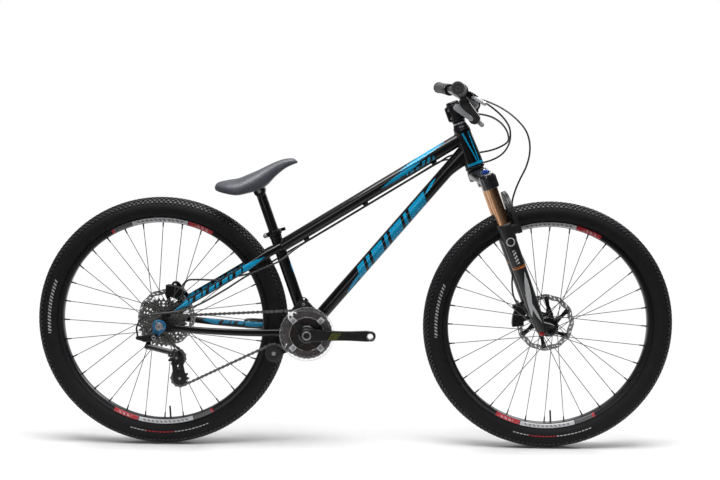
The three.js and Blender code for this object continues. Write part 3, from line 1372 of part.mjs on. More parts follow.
const frontHoseRoute = [
  [291.7, 152, 959.5], [294.9, 128.8, 958.6], [318, 112, 955], [360, 97, 943], [402, 76, 922],
  [434, 54, 896], [456, 40, 868], [466, 35, 838], [467, 34, 806], [459, 37, 770],
  [443, 41, 734], [431, 43, 702], [424, 41, 670], [427, 36, 650], [424, 35.5, 621],
  [423, 41, 593], [426, 42, 565], [428, 42, 534], [431, 45, 483], [430, 42, 445],
  [434, 39, 415], [444.5, 38, 391.9],
];
const rearHoseRoute = [
  [291.7, -152, 959.5], [294.9, -128.8, 958.6], [314, -112, 952], [347, -97, 933],
  [379, -76, 907], [400, -50, 880], [407, -22, 852], [404, 8, 824], [390, 32, 800],
  [368, 44, 784], [338, 46, 776], [303, 44, 779], [268, 36, 786], [236, 20, 787],
  [204, 8, 773.1], [160, 6, 745.9], [60, 6, 684], [-60, 6, 609.8], [-118, 6, 574],
  [-150, 8, 554.2], [-175, 24, 538], [-205, 42, 517], [-250, 50, 489], [-296, 48, 466],
  [-345, 46, 455], [-388, 49, 447], [-440, 50, 447], [-466, 50, 444], [-481, 50, 424.4],
];
const shiftRoute = [
  [290.3, -175.6, 916], [292.5, -163, 916.3], [301, -146, 916], [320, -129, 914],
  [345, -112, 908], [368, -92, 896], [386, -66, 880], [398, -40, 862], [402, -16, 842],
  [392, 4, 822], [370, 22, 806], [340, 32, 797], [303, 36, 793], [272, 31, 795],
  [246, 16, 795], [222, 0, 783], [204, -6, 773.1], [160, -6, 745.9], [60, -6, 684],
  [-60, -6, 609.8], [-118, -6, 574], [-150, -8, 554.2], [-175, -24, 537], [-205, -42, 515],
  [-287, -54, 478], [-350, -62, 438], [-417, -72, 400], [-462, -82, 384], [-497, -90, 379],
  [-545, -92, 372], [-573, -89, 356], [-583, -86, 337], [-581, -84.6, 314.6],
];

// Put the pieces together
add(frame, 'head_tube', solid(headTubeShape()), paint);
add(frame, 'top_tube', topTubeShape(), paint);
add(frame, 'down_tube', downTubeShape(), paint);
add(frame, 'seat_tube', seatTubeShape(), paint);
add(frame, 'bottom_bracket_shell', shellShape(), blackAlloy);
const leftChainstay = shapeOf(chainstayShape());
add(frame, 'left_chainstay', leftChainstay, paint);
add(frame, 'right_chainstay', mirrored(leftChainstay), paint);
add(frame, 'left_seatstay', seatstayShape(true), paint);
add(frame, 'right_seatstay', mirrored(shapeOf(seatstayShape(false))), paint);
add(frame, 'derailleur_hanger', hangerShape(), blueAlloy);
add(frame, 'upper_headset_bearing', upperBearing(), blackAlloy);
add(frame, 'lower_headset_bearing', lowerBearing(), blackAlloy);
add(frame, 'chain_guide', chainGuideShape(), grey);
add(frame, 'rear_caliper', caliperShape(rearHubAt.x, rearHubAt.z, rearHub.rotorAt,
  rearCaliper), blackAlloy);
add(frame, 'rear_axle', rearAxleShape(), silver);

add(seating, 'seat_collar', collarShape(), blackAlloy);
add(seating, 'seat_clamp_lever', clampLeverShape(), blackAlloy);
add(seating, 'seatpost', seatPostShape(), blackAlloy);
add(bike, 'saddle', saddleShape(), fabric);

add(steering, 'fork_crown', crownShape(), blackAlloy);
add(steering, 'fork_lowers', lowersShape(), blackAlloy);
add(steering, 'front_axle', frontAxleShape(), blackAlloy);
add(steering, 'front_caliper', caliperShape(forkOffset, 0, frontHub.rotorAt,
  frontCaliper), blackAlloy);
add(steering, 'compression_knob', knobShape(fork.legOffset, -fork.legSpread,
  fork.endTop + gap, fork.endTop + knob.height, knob.radius), blueAlloy);
add(steering, 'rebound_knob', knobShape(fork.legOffset, -fork.legSpread,
  fork.legBottom - gap - rebound.height, fork.legBottom - gap, rebound.radius), redAlloy);
add(steering, 'stem', stemShape(), blackAlloy);
add(steering, 'stem_faceplate', faceplateShape(), blackAlloy);
add(steering, 'handlebar', handlebarShape(), blackAlloy);
for (const [side, hand] of [[1, 'left'], [-1, 'right']]) {
  add(steering, `${hand}_grip`, forHand(gripShape(), side), rubber);
  add(steering, `${hand}_brake_body`, forHand(shapeOf(brakeBodyShape()), side), blackAlloy);
  add(steering, `${hand}_brake_lever`, forHand(shapeOf(leverShape()), side), grey);
}
add(steering, 'shifter_body', forHand(shapeOf(shifterShape()), -1), blackAlloy);
add(steering, 'shift_thumb_paddle', forHand(paddleShape(paddle,
  shifter.clampAt + gap), -1), silver);
add(steering, 'shift_release_trigger', forHand(paddleShape(trigger,
  shifter.clampAt - shifter.width - gap - trigger.thickness), -1), grey);

wheel('front', frontHubAt, lacedHub(frontHubProfile(), frontHub.flange, frontHub.flangeAt,
  frontHub.flangeAt), frontHub.rotorAt);
wheel('rear', rearHubAt, lacedHub(rearHubProfile(), rearHub.flange, rearHub.driveFlangeAt,
  rearHub.discFlangeAt), rearHub.rotorAt);

add(bike, 'cassette', cassetteShape(), steel);
add(bike, 'right_crank', rightCrankShape(), blackAlloy);
add(bike, 'left_crank', leftCrankShape(), blackAlloy);
add(bike, 'chainring', chainringShape(), steel);
add(bike, 'chain_guard', guardShape(), clear);
add(bike, 'chain', chainShape(), steel);
add(bike, 'derailleur_body', derailleurBodyShape(), blackAlloy);
add(bike, 'derailleur_link', derailleurLinkShape(), blackAlloy);
add(bike, 'derailleur_knuckle', derailleurKnuckleShape(), blackAlloy);
add(bike, 'derailleur_cage', cageShape(), blackAlloy);
add(bike, 'upper_pulley', pulleyShape(4, upperPulleyAt), blackAlloy);
add(bike, 'lower_pulley', pulleyShape(3, lowerPulleyAt), blackAlloy);
add(bike, 'front_brake_hose', hoseShape(frontHoseRoute, 22), rubber);
add(bike, 'rear_brake_hose', hoseShape(rearHoseRoute, 32), rubber);
add(bike, 'shift_housing', hoseShape(shiftRoute, 38), rubber);

export default bike;
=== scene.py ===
"""Dirt jump bike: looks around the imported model. Sizes in millimetres, in the bike's frame."""

import bpy
import numpy as np
from mathutils import Matrix, Vector
from mathutils.geometry import tessellate_polygon


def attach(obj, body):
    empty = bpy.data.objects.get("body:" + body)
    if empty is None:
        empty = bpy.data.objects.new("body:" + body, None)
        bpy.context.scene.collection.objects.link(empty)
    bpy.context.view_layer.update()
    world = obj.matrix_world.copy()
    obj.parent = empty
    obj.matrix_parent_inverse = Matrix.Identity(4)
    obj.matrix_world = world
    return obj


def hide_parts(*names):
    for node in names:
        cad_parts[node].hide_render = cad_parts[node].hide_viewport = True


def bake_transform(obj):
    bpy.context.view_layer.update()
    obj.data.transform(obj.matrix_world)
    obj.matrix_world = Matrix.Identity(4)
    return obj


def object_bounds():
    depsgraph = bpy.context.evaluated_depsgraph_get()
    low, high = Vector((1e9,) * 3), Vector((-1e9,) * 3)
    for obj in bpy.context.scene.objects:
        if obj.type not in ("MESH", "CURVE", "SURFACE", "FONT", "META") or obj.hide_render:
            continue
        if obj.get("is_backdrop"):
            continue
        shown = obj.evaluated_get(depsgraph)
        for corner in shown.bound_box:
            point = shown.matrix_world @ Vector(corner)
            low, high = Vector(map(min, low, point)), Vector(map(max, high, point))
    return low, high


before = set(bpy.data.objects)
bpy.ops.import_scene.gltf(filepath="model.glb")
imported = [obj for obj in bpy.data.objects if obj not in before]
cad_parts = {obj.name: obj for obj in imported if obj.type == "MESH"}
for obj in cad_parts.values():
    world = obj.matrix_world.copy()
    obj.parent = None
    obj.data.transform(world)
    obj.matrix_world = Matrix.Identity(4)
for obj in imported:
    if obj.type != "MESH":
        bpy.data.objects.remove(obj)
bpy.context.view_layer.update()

# Camera. It stands 3.3 m off the bike's right side at waist height and looks slightly
# down, with the long lens and the small roll of the photograph.
EYE = np.array([0.0132, -3.3454, 0.9837])
AHEAD = np.array([-0.00108, 0.99239, -0.12309])
ROLL = np.radians(0.67)
level = np.cross(AHEAD, [0, 0, 1])
level /= np.linalg.norm(level)
upward = np.cross(level, AHEAD)
camera = bpy.data.objects.new("camera", bpy.data.cameras.new("camera"))
camera.data.lens = 62.18
camera.data.sensor_width = 36
turned_basis = np.eye(4)
turned_basis[:3, 0] = np.cos(ROLL) * level + np.sin(ROLL) * upward
turned_basis[:3, 1] = np.cos(ROLL) * upward - np.sin(ROLL) * level
turned_basis[:3, 2] = -AHEAD
turned_basis[:3, 3] = EYE
camera.matrix_world = Matrix(turned_basis.tolist())
bpy.context.scene.collection.objects.link(camera)
bpy.context.scene.camera = camera


class Shade:
    """A number or colour on a node's output. Its operators add Math nodes to the tree."""

    def __init__(self, finish, socket):
        self.finish, self.socket = finish, socket

    def math(self, operation, *others):
        inputs = dict(enumerate([self, *others]))
        return self.finish.add("ShaderNodeMath", {"operation": operation}, inputs)

    def __add__(self, other):
        return self.math("ADD", other)

    def __sub__(self, other):
        return self.math("SUBTRACT", other)

    def __rsub__(self, other):
        return (self * -1) + other

    def __mul__(self, other):
        return self.math("MULTIPLY", other)

    def __truediv__(self, other):
        return self.math("DIVIDE", other)

    def __gt__(self, other):
        return self.math("GREATER_THAN", other)

    def __lt__(self, other):
        return self.math("LESS_THAN", other)

    def __abs__(self):
        return self.math("ABSOLUTE")

    __radd__ = __add__
    __rmul__ = __mul__

    def between(self, low, high):
        return (self > low) * (self < high)

    def repeat(self, step):
        """The distance past the last whole step"""
        return self.math("FLOORED_MODULO", step)

    def either(self, other):
        return self.math("MAXIMUM", other)


class Finish:
    """A surface finish built from nodes. add() makes one node of any type."""

    def __init__(self, name, owner=None):
        self.owner = owner or bpy.data.materials.new(name)
        self.owner.use_nodes = True
        self.tree = self.owner.node_tree
        self.tree.nodes.clear()

    def add(self, kind, settings=(), inputs=(), output=0):
        node = self.tree.nodes.new(kind)
        for key, value in dict(settings).items():
            if key == "stops":
                for stop, (at, tone) in zip(node.color_ramp.elements, value):
                    stop.position, stop.color = at, (*tone, 1.0)
            else:
                setattr(node, key, value)
        for key, value in dict(inputs).items():
            socket = node.inputs[key]
            if isinstance(value, Shade):
                self.tree.links.new(value.socket, socket)
            else:
                socket.default_value = (*value, 1.0) if socket.type == "RGBA" else value
        return None if output is None else Shade(self, node.outputs[output])

    def parts(self, vector):
        node = self.add("ShaderNodeSeparateXYZ", (), {0: vector}).socket.node
        return [Shade(self, socket) for socket in node.outputs]

    def place(self):
        """The point's place in the bike's frame, in millimetres"""
        point = self.add("ShaderNodeTexCoord", output="Object")
        return self.add("ShaderNodeVectorMath", {"operation": "SCALE"}, {0: point, "Scale": 1000.0})

    def stretched(self, scale):
        """The point's place, scaled by its own factor on each axis"""
        return self.add("ShaderNodeVectorMath", {"operation": "MULTIPLY"}, {0: self.place(), 1: scale})

    def noise(self, per_mm, detail=2.0, at=None):
        """Soft noise from 0 to 1, with so many waves in a millimetre"""
        return self.add("ShaderNodeTexNoise", (),
            {"Vector": at or self.place(), "Scale": per_mm, "Detail": detail})

    def blend(self, share, low, high):
        return self.add("ShaderNodeMix", {"data_type": "RGBA"}, {0: share, 6: low, 7: high}, 2)

    def bump(self, height, depth, strength=1.0):
        """Relief whose height of 1 stands so many millimetres proud"""
        return self.add("ShaderNodeBump", (),
            {"Height": height, "Distance": depth / 1000, "Strength": strength})

    def surface(self, **inputs):
        named = {key.replace("_", " ").title().replace("Ior", "IOR"): value
            for key, value in inputs.items()}
        shader = self.add("ShaderNodeBsdfPrincipled", (), named)
        self.add("ShaderNodeOutputMaterial", (), {0: shader}, None)
        return self.owner


# Studio. A white floor that glows behind the bike, a dome that is dark towards the camera
# and bright above, a wide softbox overhead, a low strip in front and a lamp behind.
def studio_floor():
    mesh = bpy.data.meshes.new("floor")
    reach = 30.0
    mesh.from_pydata([(x, y, 0) for x in (-reach, reach) for y in (-reach, reach)], [], [(0, 2, 3, 1)])
    floor = bpy.data.objects.new("floor", mesh)
    bpy.context.scene.collection.objects.link(floor)
    finish = Finish("pale_floor")
    back = finish.parts(finish.place())[1]
    behind, before = (back - 60) / 500, (back * -1 - 420) / 500
    white = finish.blend(finish.noise(0.004), (0.70, 0.70, 0.70), (0.73, 0.73, 0.73))
    lit = finish.blend(before, white, (0.12, 0.12, 0.12))
    mesh.materials.append(finish.surface(base_color=finish.blend(behind, lit, (0, 0, 0)), roughness=0.9,
        specular_ior_level=0.1, emission_strength=1.0,
        emission_color=finish.blend(behind, (0.012, 0.012, 0.012), (1, 1, 1))))
    floor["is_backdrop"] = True


def softbox(name, at, target, size, power):
    lamp = bpy.data.lights.new(name, "AREA")
    lamp.shape, lamp.size, lamp.size_y, lamp.energy = "RECTANGLE", size[0], size[1], power
    light = bpy.data.objects.new(name, lamp)
    light.location = at
    aim = Vector(target) - Vector(at)
    light.rotation_mode = "QUATERNION"
    light.rotation_quaternion = aim.to_track_quat("-Z", "Y")
    bpy.context.scene.collection.objects.link(light)


def sky():
    world = bpy.data.worlds.new("studio_sky")
    bpy.context.scene.world = world
    finish = Finish("studio_sky", world)
    direction = finish.add("ShaderNodeTexCoord", output="Generated")
    back, up = finish.parts(direction)[1:]
    dome = finish.add("ShaderNodeValToRGB",
        {"stops": [(0.34, (0.012, 0.012, 0.014)), (0.92, (0.9, 0.9, 0.9))]}, {0: up * 0.75 + back * 0.45})
    seen = finish.add("ShaderNodeLightPath", output="Is Camera Ray")
    shown = finish.blend(seen, dome, (1.0, 1.0, 1.0))
    back = finish.add("ShaderNodeBackground", (), {"Color": shown, "Strength": 1.0})
    finish.add("ShaderNodeOutputWorld", (), {0: back}, None)


studio_floor()
softbox("overhead", (0.0, -0.5, 3.2), (0, 0, 0.5), (3.4, 1.6), 170)
softbox("front_strip", (-1.2, -3.4, 1.6), (0, 0, 0.5), (0.8, 2.2), 15)
softbox("back_edge", (1.4, 2.6, 2.0), (0, 0, 0.6), (2.2, 1.2), 40)
sky()
bpy.context.scene.view_settings.view_transform = "Standard"

# Tyres. Black rubber on a fabric carcass, 26 by 2.3 inches, beaded into the rim. Rows of
# small blocks stand on the crown, each row half a block ahead of its neighbour.
REAR_X, FRONT_X, AXLE_UP = -524.0, 524.0, 340.0
REAR_AXLE, FRONT_AXLE = np.array([REAR_X, 0, AXLE_UP]), np.array([FRONT_X, 0, AXLE_UP])
TYRE_RADIUS = 340.0
TYRE_HALF = 29.5
KNOB_HEIGHT = 2.5


def outward(points, quads, tris):
    """Turns the faces of a closed form outward, so that the volume they enclose,
    summed as corner-wise box products, is above zero."""
    points = np.asarray(points, float)
    quads = np.asarray(quads, int).reshape(-1, 4)
    tris = np.asarray(tris, int).reshape(-1, 3)
    fans = np.concatenate([quads[:, [0, 1, 2]], quads[:, [0, 2, 3]], tris])
    a, b, c = (points[fans[:, k]] for k in range(3))
    if np.einsum("ij,ij->", a - points[0], np.cross(b - points[0], c - points[0])) < 0:
        quads, tris = quads[:, ::-1], tris[:, ::-1]
    return points, quads, tris


def skin(rows, wrap=False, tips=(None, None)):
    """Faces over a grid of points, row by row. The columns close on themselves; the rows
    close too if wrap is set, or else each end gets a fan to its tip or middle."""
    rows = np.asarray(rows, float)
    n, m = rows.shape[:2]
    r = np.arange(n if wrap else n - 1)[:, None]
    c = np.arange(m)[None, :]
    after, side = (r + 1) % n * m, (c + 1) % m
    quads = np.stack([r * m + c, r * m + side, after + side, after + c], -1).reshape(-1, 4)
    points, tris = rows.reshape(-1, 3), np.zeros((0, 3), int)
    if not wrap:
        ends = [rows[k].mean(0) if tip is None else tip for k, tip in zip((0, -1), tips)]
        points = np.concatenate([points, np.array(ends, float)])
        c, side, last = np.arange(m), (np.arange(m) + 1) % m, (n - 1) * m
        tris = np.concatenate([np.stack([np.full(m, n * m), side, c], -1),
            np.stack([np.full(m, n * m + 1), last + c, last + side], -1)])
    return outward(points, quads, tris)


def turns(count):
    """Angles spread evenly round a circle"""
    return np.linspace(0, 2 * np.pi, count, endpoint=False)


def polar(radius, angle, x=0.0, z=0.0):
    """Points [x, z] at angles round a centre"""
    return np.stack([np.cos(angle), np.sin(angle)], -1) * radius + [x, z]


def carried(points, place):
    """Points given in a local frame, in the bike's frame"""
    return np.asarray(points, float) @ place[:3, :3].T + place[:3, 3]


def placed(form, place):
    return outward(carried(form[0], place), form[1], form[2])


def basis(x, y, z, at):
    """A frame from its three axes and its origin"""
    matrix = np.eye(4)
    matrix[:3, 0], matrix[:3, 1], matrix[:3, 2], matrix[:3, 3] = x, y, z, at
    return matrix


def across(x, z, y=0.0):
    """A frame whose Z runs to the bike's left, at a place on its middle plane"""
    return basis([1, 0, 0], [0, 0, -1], [0, 1, 0], [x, y, z])


def rounded(corners, radius, steps=3, closed=True):
    """Rounds the corners of an outline: each becomes a parabola that starts and ends the
    radius away, or at nearly half of a shorter edge."""
    p = np.asarray(corners, float)

    def toward(q):
        edge = q - p
        length = np.linalg.norm(edge, axis=1, keepdims=True) + 1e-9
        return p + edge / length * np.minimum(radius, 0.48 * length)

    a, b = toward(np.roll(p, 1, 0))[:, None], toward(np.roll(p, -1, 0))[:, None]
    t = np.linspace(0, 1, steps + 1)[None, :, None]
    arcs = (1 - t) ** 2 * a + 2 * t * (1 - t) * p[:, None] + t ** 2 * b
    if closed:
        return arcs.reshape(-1, p.shape[1])
    return np.concatenate([p[:1], arcs[1:-1].reshape(-1, p.shape[1]), p[-1:]])


def turned(profile, place=None, sides=64):
    """A profile of [radius, height] turned round Z. It closes on itself, or starts and
    ends on the axis, where its first and last points become the tips."""
    profile = np.asarray(profile, float)
    open_ended = profile[0, 0] < 1e-6 and profile[-1, 0] < 1e-6
    tips = [np.array([0, 0, profile[k, 1]]) for k in (0, -1)] if open_ended else (None, None)
    if open_ended:
        profile = profile[1:-1]
    angle = turns(sides)[None, :]
    radius, height = profile[:, :1], profile[:, 1:]
    rows = np.stack([radius * np.cos(angle), radius * np.sin(angle), height + 0 * angle], -1)
    form = skin(rows, not open_ended, tips)
    return form if place is None else placed(form, place)


def lathe(corners, radius, steps=3, place=None, sides=64):
    """Turns a profile once its corners are rounded"""
    return turned(rounded(corners, radius, steps, corners[0][0] > 0), place, sides)


def collar(inner, outer, low, high, radius, steps=3, place=None, sides=64):
    """A turned ring with a rectangle for its section, or a disc if it starts on the axis"""
    corners = [[inner, low], [outer, low], [outer, high], [inner, high]]
    return lathe(corners, radius, steps, place, sides)


def piece(name, forms, material, body, slot, replaces=(), sharp=35):
    """One object from its closed forms. It rides on a body and stands for CAD nodes."""
    points, quads, tris, start = [], [], [], 0
    for form in forms:
        points.append(form[0])
        quads.append(form[1] + start)
        tris.append(form[2] + start)
        start += len(form[0])
    points = np.concatenate(points) / 1000
    quads, tris = np.concatenate(quads), np.concatenate(tris)
    mesh = bpy.data.meshes.new(name)
    mesh.vertices.add(len(points))
    mesh.vertices.foreach_set("co", points.astype(np.float32).ravel())
    mesh.loops.add(quads.size + tris.size)
    mesh.loops.foreach_set("vertex_index", np.concatenate([quads.ravel(), tris.ravel()]).astype(np.int32))
    mesh.polygons.add(len(quads) + len(tris))
    starts = np.concatenate([np.arange(len(quads)) * 4, quads.size + np.arange(len(tris)) * 3])
    mesh.polygons.foreach_set("loop_start", starts.astype(np.int32))
    mesh.update(calc_edges=True)
    mesh.validate()
    mesh.shade_smooth()
    mesh.set_sharp_from_angle(angle=np.radians(sharp))
    mesh.materials.append(material)
    thing = bpy.data.objects.new(name, mesh)
    bpy.context.scene.collection.objects.link(thing)
    if body:
        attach(thing, body)
    if replaces:
        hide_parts(*([replaces] if isinstance(replaces, str) else replaces))
    return thing


def tyre_section():
    """Half circles of the carcass, outside and inside, from bead to bead"""
    outer = np.radians(np.linspace(-47, 227, 41))
    inner = np.radians(np.linspace(222, -42, 27))
    middle, crown = TYRE_RADIUS - TYRE_HALF, TYRE_HALF - KNOB_HEIGHT
    out = np.stack([middle + crown * np.sin(outer), TYRE_HALF * np.cos(outer)], -1)
    fold = np.stack([middle + (crown - 3) * np.sin(inner), (TYRE_HALF - 3) * np.cos(inner)], -1)
    lip = [[284.5, 12.9], [287.0, 13.6], [288.6, 17.5]]
    return np.concatenate([lip, out, [[r, -y] for r, y in lip[::-1]], [[284.5, -10.5]], fold,
        [[284.5, 10.5]]])


def tyre_knobs(rows=(0, 13, -13, 26, -26, 39, -39, 51, -51), count=168):
    """Blocks on the crown: each row sits at an angle round the section and repeats round
    the wheel; a block is a box that narrows to its top, in the frame of its spot."""
    lean = np.radians(np.asarray(rows, float))[:, None]
    stagger = np.arange(len(rows))[:, None]
    stagger = np.where(stagger == 0, 0, (stagger + 1) // 2) % 2 * 0.5
    turn = (np.arange(count)[None, :] + stagger) * 2 * np.pi / count
    middle, crown = TYRE_RADIUS - TYRE_HALF, TYRE_HALF - KNOB_HEIGHT
    radial = np.stack([np.cos(turn), 0 * turn, np.sin(turn)], -1)
    tangent = np.stack([-np.sin(turn), 0 * turn, np.cos(turn)], -1)
    side = np.array([0.0, 1.0, 0.0])
    cos, sin = np.cos(lean)[..., None], np.sin(lean)[..., None]
    normal = radial * cos + side * sin
    sideways = side * cos - radial * sin
    root = radial * (middle + (crown - 0.6) * cos) + side * TYRE_HALF * sin * 0.995
    points = []
    for up, wide, long in ((0, 2.7, 3.5), (KNOB_HEIGHT + 0.5, 2.1, 2.8)):
        for a, b in ((-1, -1), (1, -1), (1, 1), (-1, 1)):
            points.append(root + normal * up + sideways * a * wide + tangent * b * long)
    points = np.stack(points, 2).reshape(-1, 3)
    box = np.array([[3, 2, 1, 0], [4, 5, 6, 7], [0, 1, 5, 4], [1, 2, 6, 5], [2, 3, 7, 6], [3, 0, 4, 7]])
    quads = (np.arange(len(points) // 8)[:, None, None] * 8 + box).reshape(-1, 4)
    return outward(points, quads, np.zeros((0, 3), int))


def round_axis(finish, x, z):
    """Offsets from a cross axis, distance from it, and the place across the bike"""
    px, py, pz = finish.parts(finish.place())
    dx, dz = px - x, pz - z
    return dx, dz, (dx * dx + dz * dz).math("SQRT"), py


def tyre_rubber(name, axle):
    """Black rubber: fine moulded rings on the sidewall, and short coloured dashes low on
    the right side"""
    finish = Finish(name)
    dx, dz, radius, y = round_axis(finish, axle[0], axle[2])
    angle = dx.math("ARCTAN2", dz * -1) * (180 / np.pi)
    wall = radius.between(292, 322)
    bars = (radius.between(302, 310) * angle.between(-112, -84) * (y < 0)
        * ((angle * 5.3 + radius * 0.55).repeat(9.0) < 4.6))
    rings = radius.repeat(2.2).between(0.0, 0.9) * wall * radius.between(293, 300)
    dashes = (radius.between(303.2, 305.4) * angle.between(-17, 24) * (angle.repeat(1.9) < 1.35)
        * (y < 0))
    red = angle.between(-9, 6)
    ink = finish.blend(red, (0.55, 0.55, 0.55), (0.5, 0.03, 0.03))
    rubber_mottle = finish.noise(0.05, 4.0)
    black = finish.blend(rubber_mottle, (0.005, 0.005, 0.006), (0.010, 0.010, 0.011))
    grain = finish.noise(1.6, 3.0)
    return finish.surface(base_color=finish.blend(bars * 0.75, finish.blend(dashes * 0.8, black, ink),
        (0.5, 0.5, 0.5)), roughness=0.62 + finish.noise(0.3) * 0.16, specular_ior_level=0.18,
        normal=finish.bump(rings * 0.5 + grain * 0.25, 0.35))


def painted_highlight_rubber(name):
    """The tread's rubber, painted a little paler than the sidewall as a painted highlight where the block
    tops catch the light
    """
    finish = Finish(name)
    rubber_mottle = finish.noise(0.2, 4.0)
    # Painted highlight: the blocks' base colour is lighter than the sidewall's, so the knob tops look
    # lit.
    return finish.surface(base_color=finish.blend(rubber_mottle, (0.010, 0.010, 0.012), (0.028, 0.028, 0.031)),
        roughness=0.40 + finish.noise(0.9) * 0.2, specular_ior_level=0.5,
        normal=finish.bump(finish.noise(2.0, 3.0), 0.08))


WHEELS = [(end, axle, across(axle[0], axle[2]))
    for end, axle in (("front", FRONT_AXLE), ("rear", REAR_AXLE))]
knobs = tyre_knobs()
for end, axle, wheel_place in WHEELS:
    piece(f"{end}_tyre_casing", [turned(tyre_section(), wheel_place, 180)],
        tyre_rubber(f"{end}_tyre_rubber", axle), f"{end}_wheel", "tyre", f"{end}_tyre", 28)
    piece(f"{end}_tyre_blocks", [(knobs[0] + axle, knobs[1], knobs[2])],
        painted_highlight_rubber(f"{end}_block_painted_highlight"), f"{end}_wheel", "tyre")

# Rims. Black anodised alloy channels, 26 inch, with eyelets for 32 spokes. A printed band
# lies on both sides, in three lengths that repeat on the far half of the wheel.
def rim_print(name, axle):
    """Dark, white and red lengths of band, with small marks of a plain kind on each"""
    finish = Finish(name)
    dx, dz, radius, y = round_axis(finish, axle[0], axle[2])
    angle = (dx.math("ARCTAN2", dz) * (180 / np.pi) + 90).repeat(180.0) - 90
    band = radius.between(273.4, 284.4)
    inner_band = radius.between(276.2, 281.8)
    white = band * angle.between(-16.8, 14.2)
    red = band * (angle.between(14.6, 29.0) + angle.between(-29.0, -27.6))
    grey = band * angle.between(-27.6, -17.2)
    marks = inner_band * (angle + radius * 0.12).repeat(2.4).between(0.5, 1.9)
    dark_marks = marks * angle.between(-14.5, 12.0)
    pale_marks = marks * angle.between(18.5, 27.0)
    base = finish.blend(grey, (0.016, 0.016, 0.018), (0.1, 0.1, 0.105))
    base = finish.blend(white, base, (0.62, 0.62, 0.64))
    base = finish.blend(red, base, (0.48, 0.018, 0.03))
    base = finish.blend(dark_marks * 0.75, base, (0.12, 0.12, 0.13))
    base = finish.blend(pale_marks * 0.6, base, (0.7, 0.6, 0.6))
    printed = white.either(red).either(grey)
    return finish.surface(base_color=base, metallic=0.75 * (1 - printed),
        roughness=0.3 + finish.noise(0.4) * 0.14, normal=finish.bump(finish.noise(2.0), 0.05),
        coat_weight=0.3, coat_roughness=0.1)


SPOKES = 32


def rim_section():
    half = [[271, 5.5], [272.6, 11.5], [275.2, 14.6], [278, 15.0], [285.4, 15.0], [286.0, 14.4],
        [285.6, 13.2], [278.2, 13.0], [276.6, 8.0]]
    return rounded(half + [[r, -y] for r, y in half[::-1]], 1.4, 3)


def rods(starts, ends, radius, sides=8, end_radius=None):
    """Round bars between rows of points: each end is a ring in the plane across the bar,
    closed by a fan to its middle."""
    starts, ends = np.atleast_2d(starts).astype(float), np.atleast_2d(ends).astype(float)
    along = ends - starts
    along /= np.linalg.norm(along, axis=1, keepdims=True)
    spare = np.where(np.abs(along[:, 1:2]) < 0.9, [[0.0, 1, 0]], [[1.0, 0, 0]])
    side = np.cross(along, spare)
    side /= np.linalg.norm(side, axis=1, keepdims=True)
    third = np.cross(along, side)
    angle = turns(sides)
    ring = (side[:, None] * np.cos(angle)[None, :, None] + third[:, None] * np.sin(angle)[None, :, None])
    far = radius if end_radius is None else end_radius
    rows = np.stack([starts[:, None] + ring * radius, ends[:, None] + ring * far], 1)
    count, size = len(starts), 2 * sides + 2
    points = np.concatenate([rows.reshape(count, -1, 3), starts[:, None], ends[:, None]], 1)
    c, d = np.arange(sides), (np.arange(sides) + 1) % sides
    quads = np.stack([c, c + sides, d + sides, d], -1)
    tris = np.concatenate([np.stack([np.full(sides, 2 * sides), c, d], -1),
        np.stack([np.full(sides, 2 * sides + 1), d + sides, c + sides], -1)])
    shift = np.arange(count)[:, None, None] * size
    return outward(points.reshape(-1, 3), (quads + shift).reshape(-1, 4), (tris + shift).reshape(-1, 3))


def metal(name, tone, roughness, grain=(1.0, 1.0, 1.0), coat=0.0, metallic=1.0):
    """Bare or anodised metal: fine grain stretched along the way it was finished"""
    finish = Finish(name)
    streaks = finish.noise(1.1, 3.0, finish.stretched(grain))
    cloud = finish.noise(0.06, 2.0)
    dark = tuple(0.8 * part for part in tone)
    return finish.surface(base_color=finish.blend(streaks * 0.5 + cloud * 0.5, dark, tone),
        roughness=roughness * (0.75 + streaks * 0.5), metallic=metallic,
        normal=finish.bump(streaks, 0.02), coat_weight=coat, coat_roughness=0.08)


for end, axle, wheel_place in WHEELS:
    spot = np.insert(polar(1, turns(SPOKES)), 1, 0, axis=1)
    lean = np.where(np.arange(SPOKES) % 2 == 0, 3.0, -3.0)[:, None] * [[0.0, 1, 0]]
    eyelets = rods(axle + spot * 273.5 + lean, axle + spot * 270.2 + lean, 3.6, 12, 2.9)
    valve = rods(axle + [17, 0, -270], axle + [15, 0, -238], 2.6, 12)
    piece(f"{end}_rim_channel", [turned(rim_section(), wheel_place, 192), eyelets, valve],
        rim_print(f"{end}_rim_print", axle), f"{end}_wheel", "black_alloy", f"{end}_rim")

# Hubs and spokes. Turned black hub shells with two flanges, laced three-cross with 32
# stainless spokes. Black alloy nipples hold the spokes in the rim.
black_anodised = metal("black_anodised_alloy", (0.022, 0.022, 0.024), 0.36, coat=0.15, metallic=0.85)
spoke_steel = metal("spoke_steel", (0.14, 0.14, 0.145), 0.45)


def lacing(flange, right_at, left_at):
    """Start and end of every spoke: even ones lie left, and every other pair on a side
    leans back, as far as three of its neighbours"""
    i = np.arange(SPOKES)
    left = i % 2 == 0
    lean = np.where(i // 2 % 2 == 0, 1, -1)
    rim_angle = turns(SPOKES)
    hub_angle = rim_angle + lean * 3 * 4 * np.pi / SPOKES
    side = lean * np.where(left, 1, -1)
    hub_y = np.where(left, left_at, -right_at) + side * 1.0
    rim_y = np.where(left, 3.0, -3.0) + side * 1.7
    start = np.insert(polar(flange - 3.3, hub_angle), 1, hub_y, axis=1)
    end = np.insert(polar(270.6, rim_angle), 1, rim_y, axis=1)
    return start, end, side


